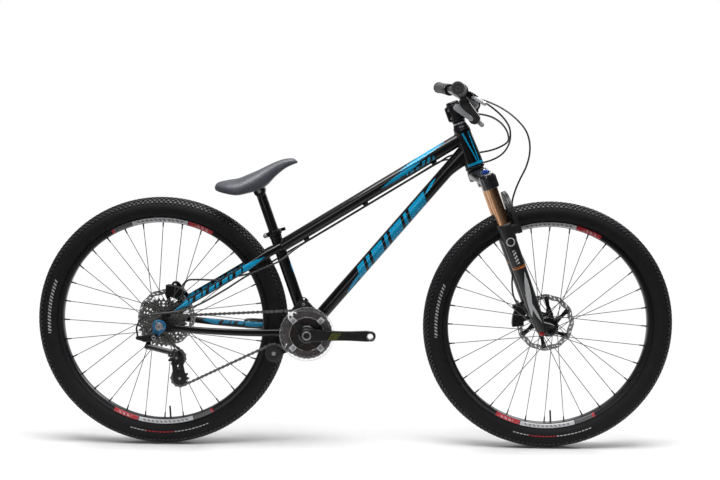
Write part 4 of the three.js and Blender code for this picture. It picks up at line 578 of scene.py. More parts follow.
for end, axle, flange, right_at, left_at, barrel, ends in (
        ("front", FRONT_AXLE, 26, 28, 28, 14, (-49.4, 49.4)),
        ("rear", REAR_AXLE, 27, 15, 32, 15, (-17.2, 64.2))):
    start, stop, side = lacing(flange, right_at, left_at)
    start, stop = start + axle, stop + axle
    along = (stop - start) / np.linalg.norm(stop - start, axis=1, keepdims=True)
    heads = side[:, None] * [[0.0, 1, 0]]
    spokes = [rods(start, stop, 1.0, 8), rods(start - heads * 3.2, start + heads * 0.8, 1.3, 8),
        rods(start - heads * 3.6, start - heads * 2.8, 2.2, 10)]
    piece(f"{end}_spokes", spokes, spoke_steel, f"{end}_wheel", "silver_steel")
    piece(f"{end}_nipples", [rods(stop - along * 13, stop, 1.7, 8, 2.1)], black_anodised, f"{end}_wheel",
        "black_alloy")
    low, high = ends
    shell = rounded([[9.2, low], [12.5, low], [barrel, -right_at - 5 if low < -40 else low],
        [flange - 2, -right_at - 2.2], [flange, -right_at - 2.2], [flange, -right_at + 2.2],
        [flange - 4, -right_at + 2.4], [barrel, -right_at + 9], [barrel, left_at - 9],
        [flange - 4, left_at - 2.4], [flange, left_at - 2.2], [flange, left_at + 2.2], [20, left_at + 3],
        [19.5, left_at + 8], [15.2, left_at + 8.4], [15.2, high], [9.2, high]], 1.2, 2)
    piece(f"{end}_hub_shell", [turned(shell, across(axle[0], axle[2]), 64)], black_anodised,
        f"{end}_wheel", "black_alloy", f"{end}_hub")

# Discs. A stainless brake track, slotted and wavy at both edges, riveted to a black alloy
# carrier of six swept arms that bolts to the hub with six screws.
def plate(loops, low, high, bevel=0.4, place=None):
    """A flat plate from outlines of [x, z]: the first is its edge, the rest are holes.
    Six copies of each outline, drawn in and back in a quarter round, make its wall."""
    rims = []
    for k, loop in enumerate(loops):
        loop = np.asarray(loop, float)
        x, z = loop.T
        area = np.sum(x * np.roll(z, -1) - np.roll(x, -1) * z)
        loop = loop[::-1] if (area > 0) == (k > 0) else loop
        edge = np.roll(loop, -1, 0) - np.roll(loop, 1, 0)
        edge /= np.linalg.norm(edge, axis=1, keepdims=True) + 1e-9
        rims.append((loop, np.stack([-edge[:, 1], edge[:, 0]], -1)))
    points, quads, caps = [], [], ([], [])
    start = 0
    arc = np.radians([0, 45, 90])
    profile = [(bevel * (1 - np.sin(a)), high - bevel * (1 - np.cos(a))) for a in arc]
    profile += [(bevel * (1 - np.sin(a)), low + bevel * (1 - np.cos(a))) for a in arc[::-1]]
    for loop, inward in rims:
        count = len(loop)
        rows = [np.insert(loop + inward * draw, 1, y, axis=1) for draw, y in profile]
        points.append(np.concatenate(rows))
        r, c = np.arange(5)[:, None] * count, np.arange(count)[None, :]
        d = (c + 1) % count
        quads.append(start + np.stack([r + c, r + count + c, r + count + d, r + d], -1).reshape(-1, 4))
        caps[0].append(start + np.arange(count))
        caps[1].append(start + 5 * count + np.arange(count))
        start += 6 * count
    points = np.concatenate(points)
    flat = [[Vector((p[0], p[2], 0)) for p in points[ring]] for ring in caps[0]]
    cuts = np.array(tessellate_polygon(flat), int)
    top, bottom = np.concatenate(caps[0]), np.concatenate(caps[1])
    corners = points[top[cuts]]
    upward = np.cross(corners[:, 1] - corners[:, 0], corners[:, 2] - corners[:, 0])[:, 1] > 0
    cuts = np.where(upward[:, None], cuts, cuts[:, ::-1])
    form = outward(points, np.concatenate(quads), np.concatenate([top[cuts], bottom[cuts[:, ::-1]]]))
    return form if place is None else placed(form, place)


def circle(radius, count=48, x=0.0, z=0.0):
    return polar(radius, turns(count), x, z)


def strap(ax, az, a_radius, bx, bz, b_radius, steps=10):
    """The outline round two circles and the straight lines that touch both"""
    heading = np.arctan2(bz - az, bx - ax)
    lean = np.arccos((a_radius - b_radius) / np.hypot(bx - ax, bz - az))
    back = heading + np.linspace(lean, 2 * np.pi - lean, steps)
    fore = heading + np.linspace(-lean, lean, steps)
    return np.concatenate([polar(a_radius, back, ax, az), polar(b_radius, fore, bx, bz)])


track_steel = metal("disc_track_steel", (0.43, 0.42, 0.43), 0.34, (1, 1, 1), metallic=0.5)
carrier_black = metal("disc_carrier_black", (0.018, 0.018, 0.02), 0.4, metallic=0.7)


def disc_track():
    """A ring whose radii wave twelve times round, with two rows of slanted slots"""
    angle = turns(144)
    wave = np.cos(12 * angle)[:, None]
    loops = [polar(78.9 + wave * 1.1, angle), polar(65.4 + wave * 1.6, angle)]
    for k in range(36):
        middle = k * 2 * np.pi / 36
        reach = 70.9 if k % 2 else 74.2
        a, b = polar(reach - 1.6, middle - 0.035), polar(reach + 1.6, middle + 0.035)
        loops.append(strap(*a, 1.05, *b, 1.05, 4))
    return loops


for end, axle, at in (("front", FRONT_AXLE, 41), ("rear", REAR_AXLE, 52)):
    hub_at = axle + [0, at, 0]
    spot = basis([1, 0, 0], [0, 1, 0], [0, 0, 1], hub_at)
    piece(f"{end}_disc_track", [plate(disc_track(), -0.9, 0.9, 0.2, spot)], track_steel, f"{end}_wheel",
        "silver_steel", f"{end}_rotor", 30)
    arms, rivets, screws = [], [], []
    for k in range(6):
        inner, outer = k * np.pi / 3, k * np.pi / 3 + 0.5
        a, b = polar(24, inner), polar(66.5, outer)
        waist = (a * 0.45 + b * 0.55) * 1.04
        arms.append(plate([strap(*a, 10.5, *waist, 4.4)], -1.2, 1.2, 0.4, spot))
        arms.append(plate([strap(*waist, 4.4, *b, 6.8)], -1.15, 1.15, 0.4, spot))
        rivets.append(hub_at + [b[0], 0, b[1]])
        screws.append(hub_at + np.insert(polar(22, inner + 0.3), 1, 0))
    ring = plate([circle(28.5), circle(17.2)], -1.2, 1.2, 0.4, spot)
    piece(f"{end}_disc_carrier", [ring, *arms, rods(screws, np.add(screws, [0, 3.2, 0]), 3.4, 12)],
        carrier_black, f"{end}_wheel", "black_alloy")
    rivet = np.array([0, 1.35, 0])
    piece(f"{end}_disc_rivets", [rods(rivets - rivet, rivets + rivet, 2.7, 14)], spoke_steel,
        f"{end}_wheel", "silver_steel")

# Frame tubes. Welded aluminium: round top, seat and head tubes and a down tube that
# deepens at the head. They are gloss black with printed blue motifs under the lacquer.
SHELL_AT = np.array([-130.0, 0.0, 320.0])


def leaning(degrees):
    return np.array([-np.cos(np.radians(degrees)), 0.0, np.sin(np.radians(degrees))])


steer_up, seat_up = leaning(69.3), leaning(70.8)
steer_ahead = np.array([steer_up[2], 0, -steer_up[0]])
seat_ahead = np.array([seat_up[2], 0, -seat_up[0]])
OFFSET = 42.0
STEER_AT = FRONT_AXLE - OFFSET * steer_ahead
steer_frame = basis(steer_ahead, [0, 1, 0], steer_up, STEER_AT)
seat_frame = basis(seat_ahead, [0, 1, 0], seat_up, SHELL_AT)


def in_frame(matrix, *point):
    return matrix[:3, :3] @ np.array(point, float) + matrix[:3, 3]


def unit(vector):
    return np.asarray(vector, float) / np.linalg.norm(vector)


def sweep(path, wide, tall=None, sides=36, up=(0, 0, 1), power=2.0, wrap=False):
    """An oval section carried along a path. Its half sizes may change from point to
    point, and a power above 2 squares the oval."""
    path = np.asarray(path, float)
    along = (np.roll(path, -1, 0) - np.roll(path, 1, 0)) if wrap else np.gradient(path, axis=0)
    along /= np.linalg.norm(along, axis=1, keepdims=True)
    side = np.cross(along, up)
    side /= np.linalg.norm(side, axis=1, keepdims=True)
    third = np.cross(side, along)
    angle = turns(sides)
    c, s = np.cos(angle), np.sin(angle)
    c, s = (np.sign(v) * np.abs(v) ** (2 / power) for v in (c, s))
    wide = np.broadcast_to(wide, len(path))[:, None, None]
    tall = wide if tall is None else np.broadcast_to(tall, len(path))[:, None, None]
    rows = (path[:, None] + side[:, None] * c[None, :, None] * wide
        + third[:, None] * s[None, :, None] * tall)
    return skin(rows, wrap)


def smooth_line(points, count):
    """An evenly spaced curve through chosen points: between two of them runs a cubic whose
    slopes come from their neighbours."""
    p = np.asarray(points, float)
    knots = np.concatenate([[0], np.cumsum(np.linalg.norm(np.diff(p, axis=0), axis=1) ** 0.5)])
    slope = np.gradient(p, knots, axis=0)
    t = np.linspace(0, knots[-1], count * 6)
    k = np.clip(np.searchsorted(knots, t, side="right") - 1, 0, len(p) - 2)
    h = (knots[k + 1] - knots[k])[:, None]
    s = ((t - knots[k]) / h[:, 0])[:, None]
    dense = ((1 + 2 * s) * (1 - s) ** 2 * p[k] + s * (1 - s) ** 2 * h * slope[k]
        + s * s * (3 - 2 * s) * p[k + 1] + s * s * (s - 1) * h * slope[k + 1])
    length = np.concatenate([[0], np.cumsum(np.linalg.norm(np.diff(dense, axis=0), axis=1))])
    even = np.linspace(0, length[-1], count)
    return np.stack([np.interp(even, length, dense[:, axis]) for axis in range(3)], -1)


def weld(start, toward, radius, other_at, other_up, other_radius, bead=1.7):
    """A rippled bead where one round tube meets another: each line along the tube's wall
    is followed to the other's cylinder, which is a quadratic in its length."""
    toward, other_up = unit(toward), unit(other_up)
    side = unit(np.cross(toward, other_up))
    third = np.cross(side, toward)
    angle = turns(160)[:, None]
    wall = np.asarray(start, float) + radius * (side * np.cos(angle) + third * np.sin(angle))
    w = wall - other_at
    w -= (w @ other_up)[:, None] * other_up
    d = toward - (toward @ other_up) * other_up
    a, b = d @ d, w @ d
    root = np.sqrt(np.maximum(b * b - a * (np.sum(w * w, 1) - other_radius ** 2), 0))
    path = wall + ((-b - root) / a)[:, None] * toward
    ripple = bead * (1 + 0.16 * np.cos(angle[:, 0] * 40))
    return sweep(path, ripple, sides=8, up=toward, wrap=True)


def gloss_black(name, motif=None, ink=(0.003, 0.27, 0.49)):
    """Black lacquer with a faint waviness; the motif is a mask of printed blue under it"""
    finish = Finish(name)
    cloud = finish.noise(0.02, 2.0)
    base = finish.blend(cloud, (0.0025, 0.0025, 0.003), (0.005, 0.005, 0.006))
    if motif is not None:
        base = finish.blend(motif(finish), base, ink)
    return finish.surface(base_color=base, roughness=0.3 + finish.noise(0.5) * 0.06,
        specular_ior_level=0.12, coat_weight=0.5, coat_roughness=0.03,
        normal=finish.bump(finish.noise(0.12, 1.0), 0.012))


def beside(finish, start, toward):
    """Distance along a tube's side from its start, and height above its middle line"""
    x, y, z = finish.parts(finish.place())
    dx, dz = unit([toward[0] - start[0], toward[2] - start[2]])
    x, z = x - start[0], z - start[2]
    return x * dx + z * dz, z * dx - x * dz, y


def blade(s, h, low, high, from_height, to_height, half):
    """A mask of a slim leaf from low to high along the tube, thickest at its middle"""
    share = (s - low) / (high - low)
    middle = share * (to_height - from_height) + from_height
    return (share * (1 - share) * 4 * half - abs(h - middle)) > 0


TOP_REAR, TOP_FRONT = in_frame(seat_frame, 0, 0, 239.4), in_frame(steer_frame, 0, 0, 563)
DOWN_FRONT = in_frame(steer_frame, 0, 0, 533)
HEAD_LOW, HEAD_HIGH = 479.0, 585.0


def down_tube_motif(finish):
    """Leaning bars of several widths between two leaves"""
    s, h, y = beside(finish, SHELL_AT, DOWN_FRONT)
    q = s - h * 0.62
    mask = q.between(212, 238)
    for low, high in ((248, 260), (270, 312), (322, 334), (344, 390), (400, 412), (422, 484)):
        mask = mask.either(q.between(low, high))
    mask = mask * (abs(h + 1) < 14)
    tail = blade(s, h, 148, 236, -13, -3, 4.5)
    return mask.either(tail).either(blade(s, h, 488, 540, 4, 12, 3.5))


def top_tube_motif(finish):
    """Two long leaves that pass each other, with five small leaning bars between"""
    s, h, y = beside(finish, TOP_REAR, TOP_FRONT)
    bars = (s - h * 0.8 - 398).repeat(17.0).between(0, 9.5) * s.between(396, 484)
    mask = blade(s, h, 318, 446, -4, 3, 5.5).either(blade(s, h, 380, 530, 10, 15, 4.5))
    return mask.either(bars * h.between(-7.5, 1.5) * (s > 448)).either(bars * h.between(-10.5, -4.5))


def head_tube_motif(finish):
    """Two lines that meet at a band round the foot"""
    s, h, y = beside(finish, STEER_AT, STEER_AT + steer_up)
    ahead = h * -1
    top = (s - HEAD_LOW) / (HEAD_HIGH - HEAD_LOW)
    one = abs(ahead + top * 17 - 12) < (top * 2.0 + 0.9)
    two = abs(ahead + top * 3 - 15.5) < 1.3
    band = s.between(483, 490) * (ahead > -19)
    return ((one.either(two)) * s.between(488, 574)).either(band)


def seat_tube_motif(finish):
    """One upright oval on the front"""
    s, h, y = beside(finish, SHELL_AT, SHELL_AT + seat_up)
    return (((s - 178) / 17 * ((s - 178) / 17) + (y / 8) * (y / 8)) < 1) * (h < 0)


piece("head_tube_shell", [lathe([[18.6, 493], [22.6, 491], [22.6, 479], [25.6, 479], [25.6, 492],
    [21.6, 571], [22.4, 573], [22.4, 585], [18.6, 585]], 2.5, 4, steer_frame, 72)],
    gloss_black("head_tube_lacquer", head_tube_motif), "frame", "paint", "head_tube", 40)

down = unit(DOWN_FRONT - SHELL_AT)
below = np.array([down[2], 0, -down[0]])
reach = np.linalg.norm(DOWN_FRONT - SHELL_AT)
along = np.concatenate([np.linspace(14, reach - 110, 12), np.linspace(reach - 100, reach - 8, 14)])
flare = np.clip((along - reach + 92) / 84, 0, 1)
flare = flare * flare * (3 - 2 * flare)
path = SHELL_AT + along[:, None] * down + (flare * 7)[:, None] * below
piece("down_tube_shell", [sweep(path, 17.5 + 0 * flare, 17.5 + flare * 8.0, 48, up=-below),
    weld(SHELL_AT + down * 60, -down, 17.5, SHELL_AT, [0, 1, 0], 20.5)],
    gloss_black("down_tube_lacquer", down_tube_motif), "frame", "paint", "down_tube", 50)

top = unit(TOP_FRONT - TOP_REAR)
guides = []
length = np.linalg.norm(TOP_FRONT - TOP_REAR)
under = np.array([top[2], 0, -top[0]])
for share in (0.13, 0.45, 0.82):
    spot = TOP_REAR + top * share * length + under * 17.4
    guides.append(plate([rounded([[-8, -3], [8, -3], [8, 3.6], [-8, 3.6]], 2.2)], -9, 9, 1.2,
        basis(top, [0, 1, 0], -under, spot)))
    guides.append(rods(spot - top * 3.5, spot + top * 3.5, 4.2, 16))
piece("top_tube_shell", [rods(TOP_REAR + top * 4, TOP_FRONT - top * 6, 17, 64),
    weld(TOP_REAR + top * 200, top, 17, STEER_AT, steer_up, 22.4),
    weld(TOP_REAR + top * 200, -top, 15.6, SHELL_AT, seat_up, 15.8), *guides],
    gloss_black("top_tube_lacquer", top_tube_motif), "frame", "paint", "top_tube", 50)

piece("seat_tube_shell", [lathe([[0, 14], [15.8, 14], [15.8, 266], [16.8, 270], [16.8, 289], [13.95, 289],
    [13.95, 124], [0, 124]], 0.8, 2, seat_frame, 64),
    weld(SHELL_AT + seat_up * 60, -seat_up, 15.8, SHELL_AT, [0, 1, 0], 20.5)],
    gloss_black("seat_tube_lacquer", seat_tube_motif), "frame", "paint", "seat_tube", 40)

# Bottom bracket. A threaded shell across the frame, with a splined black alloy cup
# screwed into each side.
crank_place = across(SHELL_AT[0], SHELL_AT[2])
cups, notches = [], []
for side in (-1, 1):
    cups.append(lathe([[12.5, side * 36.7], [22, side * 36.7], [22, side * 48.5], [19.5, side * 52],
        [12.5, side * 52]], 1.4, 3, crank_place, 64))
    ring = np.insert(polar(21.6, turns(16)), 1, 0, axis=1) + SHELL_AT
    notches.append(rods(ring + [0, side * 39, 0], ring + [0, side * 47.5, 0], 1.5, 8))
shell = collar(12.5, 20.5, -36.5, 36.5, 1.2, 2, crank_place, 64)
piece("bottom_bracket", [shell, *cups, *notches], black_anodised, "frame", "black_alloy",
    "bottom_bracket_shell")

# Stays. Oval tubes that bow out past the tyre and end in flat plates, which hold the axle
# on each side. The left seatstay also carries the tab for the rear caliper.
def mirror(form):
    return outward(form[0] * [1, -1, 1], form[1], form[2])


def stay_motif(start, toward, low, high, inner_only=False):
    """Slanted cuts in a blue length of the stay, pointed at both ends"""
    def mask(finish):
        s, h, y = beside(finish, start, toward)
        body = blade(s, h, low, high, 0, 0, 15) * (abs(h) < 8.5)
        middle = s.between(low + 46, high - 66)
        lean = (s - h * 0.62).repeat(41.0)
        cuts = lean.between(17, 22).either(lean.between(31, 41))
        shape = body * (1 - cuts.either(abs(h) > 5.6) * middle)
        if inner_only:
            facing = finish.parts(finish.add("ShaderNodeNewGeometry", output="Normal"))[1]
            shape = shape * (facing < -0.25)
        return shape
    return mask


DROPOUT_FACE, DROPOUT_THICK = 67.8, 6.2
dropout_y, dropout_back = DROPOUT_FACE + DROPOUT_THICK / 2, DROPOUT_FACE + DROPOUT_THICK
steps = ((0.02, 20, 0), (0.155, 38.5, -1), (0.26, 45.5, -1), (0.43, 56, 1), (0.7, 66, 7),
    (0.915, dropout_y, 15))
chain_route = [(-130 - share * 394, left, 320 + rise) for share, left, rise in steps]
seat_route = [(TOP_REAR[0] + 2, 12, TOP_REAR[2] + 2), (-238, 33, 532), (-268, 44, 512.5),
    (-303, 50.5, 491.5), (-350, 58, 462.6), (-397, 64, 434), (-443, 68, 407), (-497, dropout_y, 374)]
share = np.linspace(0, 1, 40)
chainstay = sweep(smooth_line(chain_route, 40), 7.2 * (1 - 0.35 * share ** 6), 10.5 * (1 - 0.2 * share),
    28, power=2.3)
seatstay = sweep(smooth_line(seat_route, 40), 7.2, 11 * (1 - 0.22 * share), 28, power=2.3)
claw_edge = rounded(strap(REAR_X, AXLE_UP, 18, *chain_route[-1][::2], 10.5, 14), 2)
claw = plate([claw_edge, circle(6.35, 32, REAR_X, AXLE_UP)], DROPOUT_FACE, dropout_back, 0.9)
foot = plate([strap(-497, 374, 8.6, -512, 364, 7.7, 14)], DROPOUT_FACE, dropout_back, 0.9)
tab = plate([rounded(strap(-470, 393, 11, -500, 427, 13, 12), 2), circle(3.2, 20, -472, 395),
    circle(3.2, 20, -502, 430)], DROPOUT_FACE - 5, DROPOUT_FACE + 1.5, 0.9)
seat_mask = stay_motif((-497, 0, 374), (-220, 0, 541), 14, 296)
chain_mask = stay_motif((-490, 0, 335), (-138, 0, 320), 62, 250, True)
for side, flip in (("left", lambda form: form), ("right", mirror)):
    extra = [tab] if side == "left" else []
    piece(f"{side}_seatstay_tube", [flip(form) for form in (seatstay, foot, *extra)],
        gloss_black(f"{side}_seatstay_lacquer", seat_mask), "frame", "paint", f"{side}_seatstay", 40)
    piece(f"{side}_chainstay_tube", [flip(form) for form in (chainstay, claw)],
        gloss_black(f"{side}_chainstay_lacquer", chain_mask if side == "left" else None), "frame",
        "paint", f"{side}_chainstay", 40)

# Hanger and rear axle. A blue anodised plate clamped outside the right dropout carries the
# derailleur. The axle is a steel bolt with a hexagon socket in its head.
blue_anodised = metal("blue_anodised_alloy", (0.05, 0.26, 0.52), 0.3, coat=0.3, metallic=0.6)
silver_polished = metal("polished_silver_steel", (0.46, 0.46, 0.48), 0.28, metallic=0.7)
hanger_y = dropout_back + 0.3
hanger_edge = rounded([[-541, 353], [-529, 357.5], [-512, 354], [-504.8, 343], [-507, 330], [-519, 322],
    [-528.5, 309.5], [-537, 301.8], [-546, 308], [-546, 318], [-540, 327], [-542.4, 340]], 7, 4)
screws = rods([[-513, -hanger_y - 5.6, 334], [-531, -hanger_y - 5.6, 352]],
    [[-513, -hanger_y, 334], [-531, -hanger_y, 352]], 2.6, 14)
piece("derailleur_hanger_plate", [plate([hanger_edge, circle(6.4, 32, REAR_X, AXLE_UP)], -hanger_y - 4.7,
    -hanger_y, 0.8)], blue_anodised, "frame", "blue_alloy", "derailleur_hanger", 30)
axle_parts = [rods([REAR_X, -80, AXLE_UP], [REAR_X, 75.5, AXLE_UP], 6.0, 32)]
rear_place = across(REAR_X, AXLE_UP)
socket = [circle(6, 40, REAR_X, AXLE_UP), circle(3.4, 6, REAR_X, AXLE_UP)]
for low, high, face, inside in ((-84.2, -79.6, -84.2, -82.0), (74.6, 79, 79, 76.8)):
    axle_parts.append(collar(5.8, 10.4, low, high, 1.0, 3, rear_place, 40))
    axle_parts.append(plate(socket, min(face, inside), max(face, inside), 0.2))
for low, high in ((-67.5, -64.5), (64.5, 67.5)):
    axle_parts.append(collar(5.8, 9, low, high, 0.5, 3, rear_place, 32))
piece("rear_axle_bolt", [*axle_parts, screws], silver_polished, "frame", "silver_steel", "rear_axle")

# Headset. Sealed bearings pressed into both ends of the head tube: a low conical cover on
# top, and a race cover over the fork crown below.
seal_rubber = metal("seal_rubber", (0.02, 0.02, 0.02), 0.6, metallic=0.0)
upper = lathe([[14.8, 571.5], [18.2, 571.5], [18.2, 585.4], [21.8, 585.4], [22.0, 588], [18.8, 593.4],
    [14.8, 593.4]], 1.2, 3, steer_frame, 64)
lower = lathe([[18.6, 492.5], [22.2, 492.5], [22.2, 478.6], [26.4, 478.6], [26.4, 473.5], [24, 470.9],
    [18.6, 470.9]], 1.2, 3, steer_frame, 64)
for word, cover in (("upper", upper), ("lower", lower)):
    piece(f"{word}_headset_cover", [cover], black_anodised, "frame", "black_alloy",
        f"{word}_headset_bearing")

# Fork. Forged black crown with anodised stanchions that slide into magnesium legs, which a
# hollow arch braces. A blue compression dial sits on the right leg, a red one at its foot.
def steer(*point):
    return in_frame(steer_frame, *point)


def sideways_in(frame_matrix, x=0.0, z=0.0):
    """Local Z along the frame's Y: for round pieces that lie across"""
    return frame_matrix @ across(x, z)


def shifted(frame_matrix, x, y):
    return frame_matrix @ basis([1, 0, 0], [0, 1, 0], [0, 0, 1], [x, y, 0])


def loaf(low, high, radius, place, depth):
    """A block from one corner to the other with rounded upright corners and soft edges"""
    corners = [[low[0], low[2]], [high[0], low[2]], [high[0], high[2]], [low[0], high[2]]]
    return plate([rounded(corners, radius, 4)], low[1], high[1], depth, place)


LEG_X, LEG_Y = 17.5, 65.0
leg_at = {side: shifted(steer_frame, LEG_X, side * LEG_Y) for side in (-1, 1)}
crown_lacquer = metal("crown_lacquer", (0.05, 0.05, 0.056), 0.2, coat=0.8, metallic=0.7)
stanchion_bronze = metal("stanchion_bronze", (0.62, 0.34, 0.19), 0.26, metallic=1.0)
crown_forms = [lathe([[14.6, 441], [26.3, 441], [26.3, 466], [23.6, 470.2], [14.6, 470.2]], 3, 4,
    steer_frame, 64)]
for side in (-1, 1):
    t = np.linspace(0, 1, 12)
    spots = [LEG_X * t ** 1.6, side * np.linspace(0.2, 0.97, 12) * LEG_Y, 455.5 - 16.5 * t ** 1.8]
    path = carried(np.stack(spots, -1), steer_frame)
    crown_forms.append(sweep(path, 23.5 - 3.5 * t, 14.2 + 3.4 * t, 40, up=steer_up, power=2.6))
    crown_forms.append(lathe([[15.9, 413.5], [22.6, 413.5], [23, 417], [23, 446], [20.5, 453.4],
        [15.9, 454.6]], 2.4, 4, leg_at[side], 56))
steerer_tube = turned([[0, 466], [18, 466], [18, 490], [14.3, 571], [14.3, 654], [0, 654]], steer_frame,
    40)
piece("fork_crown_forging", [*crown_forms, steerer_tube], crown_lacquer, "steering", "black_alloy",
    "fork_crown", 40)
stanchions = [turned([[0, 188], [15.4, 188], [16, 189.5], [16, 440], [0, 440]], leg_at[side], 56)
    for side in (-1, 1)]
piece("stanchion_tubes", stanchions, stanchion_bronze, "steering", "black_alloy")
left_cap = lathe([[0, 452], [17.5, 452], [17.5, 456], [15.8, 458.4], [0, 458.8]], 0.8, 2, leg_at[1], 48)
piece("fork_leg_cap", [left_cap, lathe([[8, 451], [17.2, 451], [17.2, 454.2], [8, 455]], 0.8, 2,
    leg_at[-1], 48)], silver_polished, "steering", "silver_steel")


def leg_paint(finish):
    """Satin black with printed bands and a grey sweep on the lower outside of each leg"""
    x, y, z = finish.parts(finish.place())
    foot, lean = steer(LEG_X, 0, 0), steer_up
    up = (x - foot[0]) * lean[0] + (z - foot[2]) * lean[2]
    ahead = (x - foot[0]) * steer_ahead[0] + (z - foot[2]) * steer_ahead[2]
    outside = abs(y) > 66
    grey = blade(up, ahead, 52, 178, -12, 9, 7).either(blade(up, ahead, 30, 118, 8, -10, 4))
    lines = up.between(188, 190.5).either(up.between(193, 194.2))
    marks = (up - ahead * 0.5).repeat(9.5).between(0, 5.2) * up.between(202, 240)
    marks = marks * abs(ahead).between(0, 5.5) * abs(abs(ahead) - 2.4).between(0, 1.9)
    ring_at = up - 264
    ring = (ring_at * ring_at + ahead * ahead).math("SQRT").between(9.2, 11.8)
    return grey * outside, lines, marks.either(ring) * outside


def leg_finish():
    finish = Finish("fork_leg_satin")
    cloud = finish.noise(0.05, 3.0)
    base = finish.blend(cloud, (0.008, 0.008, 0.009), (0.016, 0.016, 0.017))
    grey, lines, marks = leg_paint(finish)
    base = finish.blend(grey, base, (0.42, 0.43, 0.44))
    base = finish.blend(lines, base, (0.55, 0.16, 0.02))
    base = finish.blend(marks, base, (0.6, 0.6, 0.6))
    return finish.surface(base_color=base, roughness=0.36 + finish.noise(0.8) * 0.1,
        specular_ior_level=0.4, coat_weight=0.25, coat_roughness=0.2,
        normal=finish.bump(finish.noise(1.6, 2.0), 0.015))


legs = []
axle_place = sideways_in(steer_frame, OFFSET)
for side in (-1, 1):
    legs.append(lathe([[0, 6], [13.5, 6], [17, 42], [17.4, 70], [19.2, 262], [20.5, 268], [20.5, 309.8],
        [16.8, 309.8], [16.8, 300], [0, 300]], 3.0, 4, leg_at[side], 56))
    low, high = (50.4, 72.4) if side > 0 else (-72.4, -50.4)
    legs.append(plate([rounded(strap(LEG_X, 22, 12.5, OFFSET, 0, 15.4, 12), 2),
        circle(7.6, 28, OFFSET, 0)], low, high, 2.6, steer_frame))
    legs.append(collar(7.7, 12.6, low + min(side * 0.3, 0), high + max(side * 0.3, 0), 1.4, 3, axle_place,
        36))


def arch_line(half_width, top_height, foot_height, count=34):
    """An arch of a flattened half ellipse over two straight feet"""
    angle = np.linspace(0, np.pi, count)
    c, s = np.cos(angle), np.sin(angle)
    c = np.sign(c) * np.abs(c) ** 0.72
    return np.stack([half_width * c, foot_height + (top_height - foot_height) * s ** 0.72], -1)


outer_line = arch_line(78.0, 386.6, 300)
inner_line = arch_line(43.5, 353.4, 303)
arch_edge = np.concatenate([[[79, 277]], outer_line, [[-79, 277]], [[-46, 277]], inner_line[::-1],
    [[46, 277]]])
groove = np.concatenate([arch_line(70.5, 379.6, 304, 26), arch_line(53.0, 362.6, 303, 26)[::-1]])
arch_place = steer_frame @ basis([0, 1, 0], [1, 0, 0], [0, 0, 1], [0, 0, 0])
arch = [plate([rounded(arch_edge, 1.2, 2)], 44.4, 50, 1.4, arch_place),
    plate([rounded(arch_edge, 1.2, 2), groove], 49, 56.8, 1.8, arch_place)]
for side in (-1, 1):
    arch.append(loaf([28, side * LEG_Y - 14, 278], [53, side * LEG_Y + 14, 305], 6, steer_frame, 4.5))
POST_FEET = (20.0, 62.0)
posts = [loaf([-27.5, 48.1, low], [9, 62, low + 12], 4, steer_frame, 2.5) for low in POST_FEET]
piece("fork_arch", arch, metal("arch_black", (0.010, 0.010, 0.011), 0.4, metallic=0.0), "lower_legs",
    "black_alloy", (), 40)
piece("fork_lower_casting", [*legs, *posts], leg_finish(), "lower_legs", "black_alloy", "fork_lowers", 40)
wipers = [lathe([[16.1, 309.9], [20.4, 309.9], [19.8, 312], [17.6, 313.2], [16.1, 313.2]], 0.7, 3,
    leg_at[side], 48) for side in (-1, 1)]
piece("fork_wiper_seals", wipers, seal_rubber, "lower_legs", "rubber")


def lobed(radius, depth, count):
    """A circle with shallow round bites for the fingers"""
    angle = turns(144)
    reach = radius - depth * (0.5 - 0.5 * np.cos(count * angle)) ** 2
    return polar(reach[:, None], angle)


red_anodised = metal("red_anodised_alloy", (0.42, 0.012, 0.01), 0.32, coat=0.3, metallic=0.7)
dial_at = leg_at[-1] @ basis([1, 0, 0], [0, 0, 1], [0, -1, 0], [0, 0, 0])
piece("compression_dial_cap", [plate([lobed(10.9, 0.9, 12)], 455.8, 462.2, 1.2, dial_at),
    lathe([[0, 461], [7.4, 461], [7.4, 464.4], [6.2, 465.8], [0, 466]], 0.8, 2, leg_at[-1], 40)],
    metal("dial_blue", (0.015, 0.08, 0.42), 0.25, coat=0.4, metallic=0.6), "compression_dial",
    "blue_alloy", "compression_knob")
piece("rebound_dial_cap", [plate([lobed(7.9, 0.8, 10)], -5.2, 5.5, 1.2, dial_at)], red_anodised,
    "rebound_dial", "red_alloy", "rebound_knob")
front_axle_forms = [rods(steer(OFFSET, -73.8, 0), steer(OFFSET, 73.8, 0), 7.3, 32)]
for low, high in ((-78.2, -73.4), (73.4, 78.2)):
    front_axle_forms.append(collar(5.6, 10.9, low, high, 1.4, 3, axle_place, 40))
piece("front_axle_shaft", front_axle_forms, black_anodised, "lower_legs", "black_alloy", "front_axle")


# Disc brake calipers. Two machined halves bolted together over the disc, with a piston
# boss, five ribs on the outer face, steel-backed pads and a banjo fitting for the hose.
def arc_block(inner, outer, middle, half, x, z, steps=14):
    """A length of a ring, from its middle angle half its length to each side"""
    angle = np.radians(np.linspace(middle - half, middle + half, steps))
    return np.concatenate([polar(outer, angle, x, z), polar(inner, angle[::-1], x, z)])


caliper_black = metal("caliper_black", (0.016, 0.016, 0.017), 0.42, coat=0.2, metallic=0.8)
pad_backing = metal("pad_backing", (0.16, 0.15, 0.14), 0.45)


